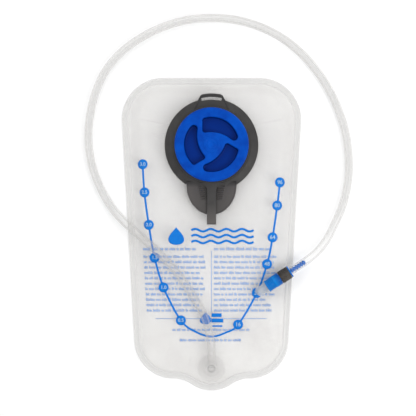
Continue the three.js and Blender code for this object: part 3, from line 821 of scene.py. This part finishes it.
def ribbon(line, width):
    """A flat strip along a line, five points wide."""
    loops = []
    for i, point in enumerate(line):
        ahead = (line[min(i + 1, len(line) - 1)] - line[max(i - 1, 0)]).normalized()
        aside = Vector((-ahead.y, ahead.x))
        places = [point + aside * width * (share - 0.5) for share in (0, 0.25, 0.5, 0.75, 1)]
        loops.append([(place.x, place.y, 0) for place in places])
    return skin(loops, around=False)


def disc(x, y, radius, rings=4, sides=32):
    loops = []
    for ring in range(rings + 1):
        size = radius * ring / rings
        loops.append([(x + size * cos(a), y + size * sin(a), 0) for a in bearings(sides)])
    return skin(loops)


def numeral(text, x, y, size):
    """A number as a flat shape."""
    curve = bpy.data.curves.new("numeral", "FONT")
    curve.body = text
    curve.size = size
    curve.offset = 0.02 * size
    curve.align_x = "CENTER"
    curve.align_y = "CENTER"
    writer = bpy.data.objects.new("numeral", curve)
    bpy.context.scene.collection.objects.link(writer)
    graph = bpy.context.evaluated_depsgraph_get()
    mesh = bpy.data.meshes.new_from_object(writer.evaluated_get(graph))
    shape = [(v.co.x + x, v.co.y + y, 0) for v in mesh.vertices], [tuple(f.vertices) for f in mesh.polygons]
    bpy.data.objects.remove(writer)
    bpy.data.meshes.remove(mesh)
    return shape


def printed(name, film, shape, ink, lift=INK_LIFT):
    """A thin layer of ink that lies on a film."""
    layer = build(name, film.draped(shape, lift), ink, sharp=60, solid=INK_THICKNESS)
    belongs(layer, "bag", None)


def make_scale_print(film, ink, pale):
    left = [(-x, y) for x, y in SCALE_LEFT]
    line = smooth_line(left + SCALE_FOOT + SCALE_RIGHT[::-1], 1.2)
    marks = [(text, x, y) for text, (x, y) in zip(LITRES + OUNCES, left + SCALE_RIGHT)]
    discs = [disc(x, y, DISC) for _, x, y in marks]
    printed("scale_print", film, merged(ribbon(line, LINE_WIDTH), *discs), ink)
    texts = [numeral(text, x, y, 5.7 if "." in text else 6.4) for text, x, y in marks]
    printed("scale_numbers", film, merged(*texts), pale, 2 * INK_LIFT)


def drop_outline(x, y, size):
    """A plain water drop, point up."""
    points = []
    for i in range(40):
        angle = 2 * pi * i / 40
        wide = size * 0.62 * sin(angle) * sin(angle / 2) ** 1.3
        points.append((x + wide, y + size * 0.5 * cos(angle)))
    return points


def flat(outline):
    """A filled flat outline."""
    ring = [Vector((x, y, 0)) for x, y in outline]
    return [tuple(point) for point in ring], [tuple(face) for face in tessellate_polygon([ring])]


def filled(outline, rings=7):
    """A filled flat outline with points inside it too, so that it can follow the film."""
    middle = sum((Vector(point) for point in outline), Vector((0, 0))) / len(outline)
    loops = []
    for ring in range(rings + 1):
        places = [middle.lerp(Vector(point), ring / rings) for point in outline]
        loops.append([(place.x, place.y, 0) for place in places])
    return skin(loops)


def bar(left, right, y, tall):
    """A level bar with points along it."""
    steps = max(int((right - left) / 1.2), 1)
    return ribbon([Vector((mix(left, right, i / steps), y)) for i in range(steps + 1)], tall)


def wave_line(left, right, y, height, length):
    """A smooth sine wave between two sides."""
    count = int((right - left) / 0.8)
    line = []
    for i in range(count + 1):
        x = mix(left, right, i / count)
        line.append(Vector((x, y + height * sin(2 * pi * (x - left) / length))))
    return line


def make_emblem_print(film, ink):
    """A water drop beside three waves, and a smaller drop by three bars, in place of any marks."""
    waves = [ribbon(wave_line(-24, 50, y, 1.5, 18.5), 2.6) for y in (-9, -2, 5)]
    label = [bar(0, 12, -96.5, 4.4), bar(0, 14, -103, 4.4), bar(1, 13, -109.6, 1.8)]
    drops = [filled(drop_outline(-42, -2, 21)), filled(drop_outline(-7, -100, 15))]
    printed("emblem_print", film, merged(*drops, *waves, *label), ink)


def block(left, right, low, high):
    """A plain rectangle."""
    return flat([(left, low), (right, low), (right, high), (left, high)])


def dashes(chance, left, right, y, height):
    """A row of small bars that stands for printed words."""
    shapes = []
    x = left
    while x < right - 2:
        for _ in range(chance.randint(2, 7)):
            width = chance.uniform(0.85, 1.4)
            tall = height * chance.choice((1, 1, 1, 1.35))
            if x + width > right:
                break
            shapes.append(block(x, x + width, y, y + tall))
            x += width + 0.34
        x += 1.5
    return shapes


NOTES_HEADING = -19.4
NOTES_TOP = -28.4
NOTES_PITCH = 6.45


def make_notes_print(film, ink):
    """Rows of small bars on the back film, in two columns, as the use notes are printed."""
    chance = random.Random(5)
    shapes = []
    for row in range(12):
        y = NOTES_HEADING if row == 0 else NOTES_TOP - NOTES_PITCH * (row - 1)
        for left, right in ((-82 + 0.4 * row, -5.8), (2.9, 83.6 - 0.9 * row)):
            ragged = chance.uniform(0, 9) if row else 12
            shapes += dashes(chance, left, right - ragged, y, 2.4 if row else 2.8)
    rule = block(-67, 66, -101.6, -100.9)
    divider = block(-0.35, 0.35, -94, -20)
    shapes += [rule, divider]
    shapes += dashes(chance, -47, 46, -116, 2.2)
    shapes += dashes(chance, -38, 36, -128.5, 2.2)
    printed("notes_print", film, merged(*shapes), ink)


# ---- the fill port ----
NECK_BORE = 37.6
NECK_ROOT = 40
NECK_CREST = 41.4
THREAD_LEAD = 12
COLLAR_TOP = 19
COLLAR_RADIUS = 55.6
NECK_TOP = 31
TONGUE_Y = -47.4
TONGUE_HALF = 29.7
TONGUE_LENGTH = 35.3
TONGUE_TOP = 18.9
TONGUE_BOTTOM = 16.3
RIB_PITCH = 2.3
RIB_START = 0.5
RIB_END = 17.4  # from the tongue's widest row
RIB_REACH = 17.2
TAB_RIM = 1.7


def thread(root, crest, start, turns, z, steps=72):
    """One rounded thread ridge with tapered ends, sunk a little into its wall."""
    upper = [(-0.3, 1.5), (0.15, 1.25), (0.75, 0.75), (1, 0.25)]
    section = [(out, -up) for out, up in upper] + upper[::-1]
    loops = []
    for step in range(steps + 1):
        share = step / steps
        taper = smoothstep(min(share, 1 - share), 0, 0.09)
        angle = radians(start) + 2 * pi * turns * share
        loop = []
        for out, up in section:
            radius = root + (crest - root) * (out if out < 0 else out * mix(0.05, 1, taper))
            height = z + THREAD_LEAD * turns * share + up * mix(0.4, 0.9, taper)
            loop.append((radius * cos(angle), radius * sin(angle), height))
        loops.append(loop)
    return drawn_shut(loops)


def collar_shape():
    base = COLLAR_LOW.z
    wall = [(NECK_BORE, base, 0.4), (COLLAR_RADIUS, base, 0.3), (COLLAR_RADIUS, base + 1.5, 0.7)]
    wall += [(50.6, COLLAR_TOP - 1.1, 1.5), (46.8, COLLAR_TOP, 1.2), (NECK_ROOT, COLLAR_TOP, 0.8)]
    wall += [(NECK_ROOT, NECK_TOP, 0.7), (NECK_BORE, NECK_TOP, 0.7)]
    return lathe(rounded(wall), 160)


def tongue_height(x, y):
    """Upper face of the grip tongue: a rim, a shallow dish and fine ribs beside the strap."""
    across = x / TONGUE_HALF
    down = (TONGUE_Y - y) / TONGUE_LENGTH
    to_edge = (1 - hypot(across, max(down, 0))) * 30
    dish = 0.7 * smoothstep(to_edge, 0.9, 2.2) + 0.6 * smoothstep(to_edge, 3, 22)
    rib = 0.5 + 0.5 * cos(2 * pi * (TONGUE_Y - RIB_START - y) / RIB_PITCH)
    reach = RIB_REACH - 0.22 * (TONGUE_Y - y)
    there = smoothstep(abs(x), 6, 7) * (1 - smoothstep(abs(x), reach - 1.2, reach))
    there *= 1 - smoothstep(TONGUE_Y - y, RIB_END, RIB_END + 1.2)
    return TONGUE_TOP - dish + 0.95 * rib * there


def tongue_shape():
    """A half ellipse in rows, rounded over its edge, that runs up into the collar."""
    rows, columns = 150, 90
    top, bottom = [], []
    for row in range(rows + 1):
        down = sin(pi / 2 * max(row - 6, 0) / (rows - 6)) * TONGUE_LENGTH
        y = TONGUE_Y - down if row >= 6 else TONGUE_Y + 0.6 * (6 - row)
        half = TONGUE_HALF * sqrt(max(1 - (down / TONGUE_LENGTH) ** 2, 0))
        line, under = [], []
        for column in range(columns + 1):
            share = sin(pi / 2 * (2 * column / columns - 1))
            x = half * share
            edge = (1 - hypot(x / TONGUE_HALF, down / TONGUE_LENGTH)) * 30
            drop = 0.7 * (1 - smoothstep(edge, 0, 0.8)) ** 2
            line.append((x, y, tongue_height(x, y) - drop))
            under.append((x, y, TONGUE_BOTTOM + 0.5 * drop))
        top.append(line)
        bottom.append(under)
    ring = [line + under[::-1] for line, under in zip(top, bottom)]
    first = [tuple(Vector(top[0][columns // 2]))] * len(ring[0])
    return skin([first] + ring)


def slot_outline(grow=0):
    half = asin(12 / 55.4) + grow / 55.4
    up = pi / 2
    slot = arc(0, 0, 57.1 + grow, up - half, up + half, 14)
    slot += arc(0, 0, 53.7 - grow, up + half, up - half, 14, clockwise=True)
    return rounded([(x, y, 1.2) for x, y in slot], 3)


def tab_shape():
    """The hanging tab above the port, with its slot and a raised rim."""
    tip = 61.1
    lean = asin(12.3 / tip)
    up = pi / 2
    crown = arc(0, 0, tip, up - lean + 0.03, up + lean - 0.03, 14)
    outline = [(22, 40.5), (20.8, 44.3), (17.4, 50.7), (13.4, 58.6)] + crown
    outline += [(-13.4, 58.6), (-17.4, 50.7), (-20.8, 44.3), (-22, 40.5)]
    outline = rounded([(x, y, 1.2) for x, y in outline], 3)
    body = plate(outline, [slot_outline()], edge_levels(TONGUE_BOTTOM, COLLAR_TOP + 0.2, 0.6))
    rim = plate(outline, [offset(outline, TAB_RIM)], edge_levels(COLLAR_TOP - 0.9, COLLAR_TOP + 0.9, 0.5))
    return merged(body, rim)


def slot_cutter():
    outline = slot_outline(0.4)
    ends = [(0, COLLAR_LOW.z - 1), (0, COLLAR_TOP + 2)]
    return build("cutter", moved(plate(outline, [], ends), PORT), [])


def peg_shape():
    profile = rounded([(0, 14.3, 0), (1.9, 14.3, 0.5), (1.9, 17, 0), (0, 17, 0)], closed=False)
    return moved(lathe(profile, 32, closed=False), (0, -68, 0))


def make_collar(material):
    flange = build("port_moulding", moved(collar_shape(), PORT), material, sharp=32)
    combine(flange, [slot_cutter()], "DIFFERENCE")
    belongs(flange, "bag", "collar", "port_collar")
    threads = [thread(NECK_ROOT, NECK_CREST, start, 29 / 48, 22.1) for start in (0, 180)]
    shapes = [tongue_shape(), tab_shape(), peg_shape(), *threads]
    grips = build("port_grips", moved(merged(*shapes), PORT), material, sharp=32)
    belongs(grips, "bag", "collar")


# ---- the cap ----
POCKET_OUTER = 32.2
POCKET_INNER = 37.8
POCKET_HUB = Vector((-0.9, -23.3))
POCKET_BLUNT = -10.7
POCKET_CORNER = 3  # of its blunt end
POCKET_TIP = 4.4  # radius of its pointed end
POCKET_FLOOR = 27
CAP_TOP = 36
CAP_RADIUS = 43.6
CAP_BORE = 42
CAP_ROOF = 33.2
GROOVE = 42.8  # radius, where the tether ring sits


def pocket_outline(grow):
    """A crescent between two circles, with three rounded corners, anticlockwise."""
    outer = POCKET_OUTER + grow
    inner = POCKET_INNER - grow
    corner = POCKET_CORNER + grow
    outer_reach = POCKET_OUTER - POCKET_CORNER
    inner_reach = POCKET_INNER + POCKET_CORNER
    hub = POCKET_HUB
    blunt = POCKET_BLUNT + POCKET_CORNER
    upper = Vector((blunt, sqrt(outer_reach**2 - blunt**2)))
    lower = Vector((blunt, hub.y + sqrt(inner_reach**2 - (blunt - hub.x) ** 2)))
    to_outer = POCKET_OUTER - POCKET_TIP
    to_inner = POCKET_INNER + POCKET_TIP
    apart = hub.length
    along = (to_outer**2 - to_inner**2 + apart**2) / (2 * apart)
    aside = sqrt(to_outer**2 - along**2)
    tip = Vector(((hub.x * along - hub.y * aside) / apart, (hub.y * along + hub.x * aside) / apart))
    centre = Vector((0, 0))

    def bearing(start, end):
        return atan2(end.y - start.y, end.x - start.x)

    points = arc(lower.x, lower.y, corner, pi, bearing(lower, hub), 9)[:-1]
    points += arc(hub.x, hub.y, inner, bearing(hub, lower), bearing(hub, tip), 26, clockwise=True)[:-1]
    points += arc(tip.x, tip.y, POCKET_TIP + grow, bearing(tip, hub), bearing(centre, tip), 12)[:-1]
    points += arc(0, 0, outer, bearing(centre, tip), bearing(centre, upper), 26)[:-1]
    points += arc(upper.x, upper.y, corner, bearing(centre, upper), pi, 9)[:-1]
    return points


def turned(points, angle):
    """Flat points turned round the port's axis."""
    c, s = cos(angle), sin(angle)
    return [(x * c - y * s, x * s + y * c) for x, y in points]


def pocket_solid(name, levels, angle):
    """A closed solid of one pocket's outline, at levels of (growth, height)."""
    loops = [[(x, y, z) for x, y in turned(pocket_outline(grow), angle)] for grow, z in levels]
    ends = []
    for loop in (loops[0], loops[-1]):
        ring = [Vector(point) for point in loop]
        ends.append((loop, [tuple(face) for face in tessellate_polygon([ring])]))
    return build(name, moved(merged(skin(loops), *ends), PORT), [])


def pocket_cutter(angle):
    """The space of one finger pocket: filleted floor, upright wall and a lip that opens out."""
    quarter = [pi / 2 * i / 6 for i in range(7)]
    floor, lip = 2.2, 1.5
    levels = [(-floor * (1 - sin(a)), POCKET_FLOOR + floor * (1 - cos(a))) for a in quarter]
    levels += [(lip * (1 - cos(a)), CAP_TOP - lip + lip * sin(a)) for a in quarter]
    return pocket_solid("cutter", levels + [(lip, CAP_TOP + 2)], angle)


def cup_shape(angle):
    """The outside of one pocket's cup, under the cap's roof."""
    return pocket_solid("cup", [(1.0, 25.4), (1.6, 26), (1.6, 33.6)], angle)


def cap_profile():
    """The cap without its pockets, with a groove for the tether and two raised rings on top."""
    wall = [(0, CAP_ROOF, 0), (CAP_BORE, CAP_ROOF, 0.6), (CAP_BORE, CAP_FOOT, 0.3)]
    wall += [(CAP_RADIUS, CAP_FOOT, 0.4), (CAP_RADIUS, 20.4, 0.15), (GROOVE, 20.4, 0.15)]
    wall += [(GROOVE, 22.9, 0.15), (CAP_RADIUS, 22.9, 0.3), (CAP_RADIUS, 34.6, 1.6)]
    wall += [(41.4, CAP_TOP + 0.25, 1.6), (36.5, CAP_TOP - 0.15, 3), (34, CAP_TOP, 3), (14, CAP_TOP, 2)]
    for outer, inner in ((9.2, 7.6), (4.9, 3.5)):
        wall += [(outer + 0.7, CAP_TOP, 0.5), (outer, CAP_TOP + 0.45, 0.25)]
        wall += [(inner, CAP_TOP + 0.45, 0.25), (inner - 0.7, CAP_TOP, 0.5)]
    return rounded(wall + [(0, CAP_TOP, 0)], 6, closed=False)


def make_cap(material):
    cap = build("cap_moulding", moved(lathe(cap_profile(), 192, closed=False), PORT), material)
    turns = [-2 * pi * i / 3 for i in range(3)]
    combine(cap, [cup_shape(turn) for turn in turns], "UNION")
    combine(cap, [pocket_cutter(turn) for turn in turns], "DIFFERENCE")
    if not cap.data.materials:
        cap.data.materials.append(material)
    cap.data.set_sharp_from_angle(angle=radians(32))
    belongs(cap, "screw_cap", "cap", "cap")
    ridges = [thread(CAP_BORE, 40.5, start + 75, 27 / 48, 21.6) for start in (0, 180)]
    threads = build("cap_thread", moved(merged(*ridges), PORT), material)
    belongs(threads, "screw_cap", "cap")


# ---- the tether ----
def make_tether(material):
    """The ring round the cap and the strap over the tongue are one moulding, built here as one mesh."""
    inner, outer, bottom, top = 43.1, 46, 20.7, 22.6
    profile = rounded([(inner, bottom, 0.3), (outer, bottom, 0.5), (outer, top, 0.7), (inner, top, 0.5)], 4)
    ring = lathe(profile, 160)
    ring_z = (bottom + top) / 2
    over, under, fold = 20.1, 15.1, -90.9  # the strap's two legs, and where it turns back
    line = [(-44.9, ring_z), (-46.5, ring_z), (-48.5, 21.5), (-51, 20.9), (-53.5, 20.3), (-56, over)]
    line += [(-60 - 3.0 * i, over) for i in range(10)]
    for i in range(13):
        angle = pi / 2 + pi * i / 12
        line.append((fold + 2.5 * cos(angle), (over + under) / 2 + 2.5 * sin(angle)))
    strap = strap_shape(line, 10.4, 11)
    band = build("tether_band", moved(merged(ring, strap), PORT), material, sharp=50)
    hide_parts("tether_ring", "tether_strap")
    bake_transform(band)
    hook_line = [(fold + 0.2, under), (fold + 6, under), (fold + 12, under), (-70.5, under), (-63.6, under)]
    hook = build("tether_hook", moved(strap_shape(hook_line, 11, 11), PORT), material, sharp=50)
    combine(hook, [drum(2.3, (0, PORT.y - 68, 0), 12, 18)], "DIFFERENCE")
    belongs(hook, "bag", "tether")


def strap_shape(line, start_width, end_width):
    """A flat band with rounded edges along a line of (y, z) places."""
    thick = 0.8
    loops = []
    for i, (y, z) in enumerate(line):
        before, after = Vector(line[max(i - 1, 0)]), Vector(line[min(i + 1, len(line) - 1)])
        ahead = (after - before).normalized()
        up = Vector((ahead.y, -ahead.x))
        share = min(max((-45 - y) / 45, 0), 1)
        flare = 9 * exp(-max(-45.5 - y, 0) / 2.1) if line[0][0] > -46 else 0
        half = mix(start_width, end_width, share) / 2 + flare
        section = band_section(half, thick)
        loops.append([(across, y + up.x * height, z + up.y * height) for across, height in section])
    return drawn_shut(loops)


def band_section(half, thick):
    """A flat section with rounded edges."""
    corner = 0.5
    corners = [(half, -thick, corner), (half, thick, corner), (-half, thick, corner), (-half, -thick, corner)]
    return rounded(corners, 4)


# ---- the outlet ----
def barb_profile(length, foot=1.5, pitch=4.6, core=2.3, crest=2.85):
    """A barbed spigot's profile, from its foot to its tip."""
    corners = [(core, -1, 0)]
    while foot + pitch <= length + 0.1:
        corners += [(core, foot, 0.2), (crest, foot + 0.25, 0.15), (crest, foot + 1.2, 0.4)]
        corners.append((core, foot + pitch - 0.5, 0.2))
        foot += pitch
    return corners + [(core, length, 0.3), (1.6, length, 0.2)]


def make_outlet(material):
    base = FLANGE_LOW.z
    flange = [(4.3, base, 0.2), (16, base, 0.3), (16, 6.4, 0.6), (13.2, 6.4, 0.3), (12.7, 5.9, 0.3)]
    flange += [(9.4, 5.9, 0.3), (8.9, 6.4, 0.3), (6.2, 6.4, 0.5), (6.2, 8.4, 0.4), (4.3, 8.4, 0.4)]
    foot = build("outlet_disc", moved(lathe(rounded(flange), 96), OUTLET), material, sharp=32)
    belongs(foot, "bag", "clear_fitting", "outlet_flange")
    body = [(2.4, 4.7, 0.2), (3.7, 4.7, 0.4), (3.7, 8.7, 0.2), (8, 8.7, 0.5), (8, ELBOW_TOP - 3, 0)]
    body += [(8, ELBOW_TOP, 3), (0, ELBOW_TOP, 0), (0, ELBOW_TOP - 1.6, 0), (2.4, ELBOW_TOP - 1.6, 1)]
    branch = rounded([(2.0, 5, 0), (6.0, 5, 0), (6.0, 9.6, 0.5), (2.0, 9.6, 0.2)])
    spigot = rounded([(1.6, 0, 0)] + barb_profile(21.2), 3)
    points, faces = merged(lathe(branch, 64), moved(lathe(spigot, 64), (0, 0, 9.8)))
    laid = [(x, z, OUTLET_AXIS + y) for x, y, z in points], faces
    shape = merged(lathe(rounded(body, 6), 96), laid)
    elbow = build("outlet_bend", moved(shape, OUTLET), material, sharp=32)
    belongs(elbow, "bag", "clear_fitting", "outlet_elbow")


# ---- the hose and the bite valve ----
def make_hose(line, material):
    hose = build("hose_tube", sweep(line, HOSE_RADIUS, 28, HOSE_RADIUS - HOSE_BORE), material, sharp=60)
    belongs(hose, "bag", "hose", "hose")


def valve_piece(name, shape, material, body, slot, *nodes, sharp=34):
    thing = build(name, along_valve(shape), material, sharp=sharp)
    return belongs(thing, body, slot, *nodes)


BARB = 20.8
SLEEVE_FOOT = 14.7
SLEEVE_HEAD = 33.3
SLEEVE_RINGS = (23.6, 25.8, 28.0, 30.2)  # where each groove starts
RING_WIDTH = 1.1


def stem_shape():
    radius = 7.5
    stem = 4.6
    tip = SLEEVE_HEAD - 5
    corners = [(1.6, 0, 0.2), (radius, 0, 0.5), (radius, 1.5, 0.4), (stem, 1.5, 0.2)]
    for groove in (SLEEVE_FOOT - 6, SLEEVE_FOOT + 2.6):
        corners += [(stem, groove, 0.1), (stem - 0.9, groove, 0.1)]
        corners += [(stem - 0.9, groove + 1.8, 0.1), (stem, groove + 1.8, 0.1)]
    corners += [(stem, tip - 5, 0.4), (3.2, tip - 4, 0.4), (3.2, tip - 1, 0.6), (2, tip, 0.4), (0, tip, 0)]
    corners += [(0, tip - 6, 0), (1.6, tip - 6, 0.3)]
    tail = [(r, -z) for r, z in rounded([(1.6, -1, 0)] + barb_profile(BARB, 0.9, 3.3, 1.9, 3.25), 3)]
    return merged(lathe(rounded(corners, 4), 64), lathe(tail, 64))


def ribbed_tube(inner, outer, foot, head, ribs, depth, segments):
    """A tube whose outside has fine ribs along it."""
    wall = [(inner, foot, 0.2), (outer, foot, 0.5), (outer, head, 0.5), (inner, head, 0.2)]
    loops = []
    for radius, z in rounded(wall):
        loop = []
        on_wall = smoothstep(radius, outer - 0.4, outer - 0.05)
        for angle in bearings(segments):
            wave = 0.5 + 0.5 * cos(ribs * angle)
            size = radius - depth * (1 - wave) * on_wall
            loop.append((size * cos(angle), size * sin(angle), z))
        loops.append(loop)
    return skin(loops, along=True)


def sleeve_shape():
    """The sleeve over the stem: four fine rings near its mouth end and a nose inside the bite piece."""
    corners = [(5.4, SLEEVE_FOOT, 0.2), (7.1, SLEEVE_FOOT, 0.3), (7.5, SLEEVE_FOOT + 0.7, 0.3)]
    for rib in SLEEVE_RINGS:
        corners += [(7.5, rib, 0.1), (6.8, rib + 0.2, 0.1)]
        corners += [(6.8, rib + 0.9, 0.1), (7.5, rib + RING_WIDTH, 0.1)]
    head = SLEEVE_HEAD
    corners += [(7.5, head - 0.3, 0.25), (6.9, head, 0.3), (4, head, 0.3)]
    corners += [(3.6, head + 6, 0.5), (2.3, head + 6, 0.3), (2.3, head - 2.4, 0.4), (5.4, head - 3.6, 0.4)]
    return lathe(rounded(corners, 3), 96)


def mouthpiece_shape():
    """A soft bite piece, oval at its lip, with a closed slit across it."""
    foot = SLEEVE_HEAD + 0.3
    lip = foot + 14
    wall = [(4.3, foot, 0.2), (6.6, foot, 0.5), (6.6, foot + 1.5, 0.5), (5.7, foot + 3.4, 0.8)]
    wall += [(5.5, foot + 7.5, 1.5), (5.7, lip - 2.8, 1.5), (4.8, lip - 0.6, 1.0), (2.6, lip, 0.6)]
    wall += [(0, lip - 0.15, 0), (0, lip - 2.2, 0), (2.6, lip - 2.8, 0.5), (4.0, foot + 6.4, 0.6)]
    points, faces = lathe(rounded(wall, 5), 96)
    shaped = []
    for x, y, z in points:
        near_lip = smoothstep(z, lip - 7, lip)
        slit = exp(-((y / 0.35) ** 2)) * (1 - smoothstep(abs(x), 2.2, 2.7))
        groove = slit * smoothstep(z, lip - 1, lip - 0.4)
        shaped.append((x * (1 + 0.02 * near_lip), y * (1 - 0.16 * near_lip), z - 0.5 * groove))
    return shaped, faces


def make_valve(blue, smoke, clear_blue, soft):
    stem = valve_piece("valve_core", stem_shape(), blue, "bag", "valve_blue", "valve_stem")
    ring = ribbed_tube(5.3, 7.75, 1.8, 14.4, 24, 0.35, segments=192)
    lock = valve_piece("valve_lock", ring, smoke, "lock", "lock_ring", "lock_ring")
    sleeve = valve_piece("valve_sleeve", sleeve_shape(), clear_blue, "mouth", "valve_blue", "sleeve")
    mouth = valve_piece("bite_piece", mouthpiece_shape(), soft, "mouth", "silicone", "mouthpiece", sharp=60)
    return [stem, lock, sleeve, mouth]


# ---- what stays as the CAD made it ----
def finish_cad_nodes(rubber, seal):
    for node in ("valve_o_ring_rear", "valve_o_ring_front", "outlet_seal"):
        set_material(frame["nodes"][node], rubber)
    set_material(frame["nodes"]["cap_seal"], seal)


def set_material(thing, material):
    thing.data.materials.clear()
    thing.data.materials.append(material)


# ---- the room ----
def make_light(name, place, size, energy, target=(0, 0.03, 0)):
    data = bpy.data.lights.new(name, "AREA")
    data.shape = "DISK"
    data.size = size
    data.energy = energy
    light = bpy.data.objects.new(name, data)
    light.location = place
    light.rotation_euler = (Vector(target) - Vector(place)).to_track_quat("-Z", "Y").to_euler()
    bpy.context.scene.collection.objects.link(light)


def make_room():
    """A pale floor just under the object, white surroundings and three soft lights."""
    reach, drop = 3000, 0.3
    corners = [(-reach, -reach, -drop), (reach, -reach, -drop), (reach, reach, -drop), (-reach, reach, -drop)]
    floor = build("floor", (corners, [(0, 1, 2, 3)]), floor_material())
    world = bpy.data.worlds.new("studio")
    world.use_nodes = True
    world.node_tree.nodes["Background"].inputs["Color"].default_value = (1, 1, 1, 1)
    world.node_tree.nodes["Background"].inputs["Strength"].default_value = 0.73
    bpy.context.scene.world = world
    make_light("key", (0.75, -0.35, 1.1), 0.8, 7)
    make_light("fill", (-0.8, 0.5, 1.3), 1.0, 3.5)
    make_light("back", (0.1, 1.1, 0.9), 0.8, 3)


def make_look():
    scene = bpy.context.scene
    scene.view_settings.view_transform = "Standard"
    scene.cycles.transparent_max_bounces = 32


# ---- the whole ----
make_camera()
line = hose_line()
stem_blue = clear_plastic("stem_blue", (0.0, 0.13, 0.52), (0.0, 0.17, 0.62), 0.97, 1.0, specular=0.12)
sleeve_blue = sleeve_material()
smoke = clear_plastic("smoky_ring", (0.026, 0.023, 0.021), (0.058, 0.050, 0.043), 0.85, 0.98, 0.3, 0.3)
silicone = clear_plastic("clear_silicone", (0.52, 0.56, 0.60), (0.62, 0.65, 0.68), 0.42, 0.85, 0.3)
valve = make_valve(stem_blue.material, smoke.material, sleeve_blue.material, silicone.material)
tube = clear_plastic("clear_hose", (0.60, 0.59, 0.57), (0.67, 0.66, 0.64), 0.06, 0.72, 0.14, relief=0.002)
make_hose(line, tube.material)
fitting = clear_plastic("clear_fitting", (0.66, 0.65, 0.64), (0.74, 0.73, 0.72), 0.06, 0.5)
make_outlet(fitting.material)
milky = film_material()
rows = film_grid(Creases(line))
front = make_front_film(rows, milky)
back = make_back_film(rows, milky)
blue_ink = ink_material("blue_ink", (0.0, 0.155, 0.58), (0.0, 0.18, 0.64))
pale_ink = ink_material("pale_ink", (0.34, 0.50, 0.66), (0.40, 0.56, 0.70))
back_ink = ink_material("back_ink", (0.0, 0.24, 0.80), (0.01, 0.29, 0.86))
make_scale_print(Film(front), blue_ink, pale_ink)
make_emblem_print(Film(front), blue_ink)
make_notes_print(Film(back), back_ink)
make_collar(collar_material())
make_cap(cap_material())
make_tether(tether_material())
rubber = moulded("seal_rubber", (0.02, 0.02, 0.022), (0.035, 0.035, 0.037), 0.6)
gasket = moulded("pale_gasket", (0.45, 0.46, 0.46), (0.55, 0.56, 0.56), 0.6)
finish_cad_nodes(rubber.material, gasket.material)
make_room()
make_look()
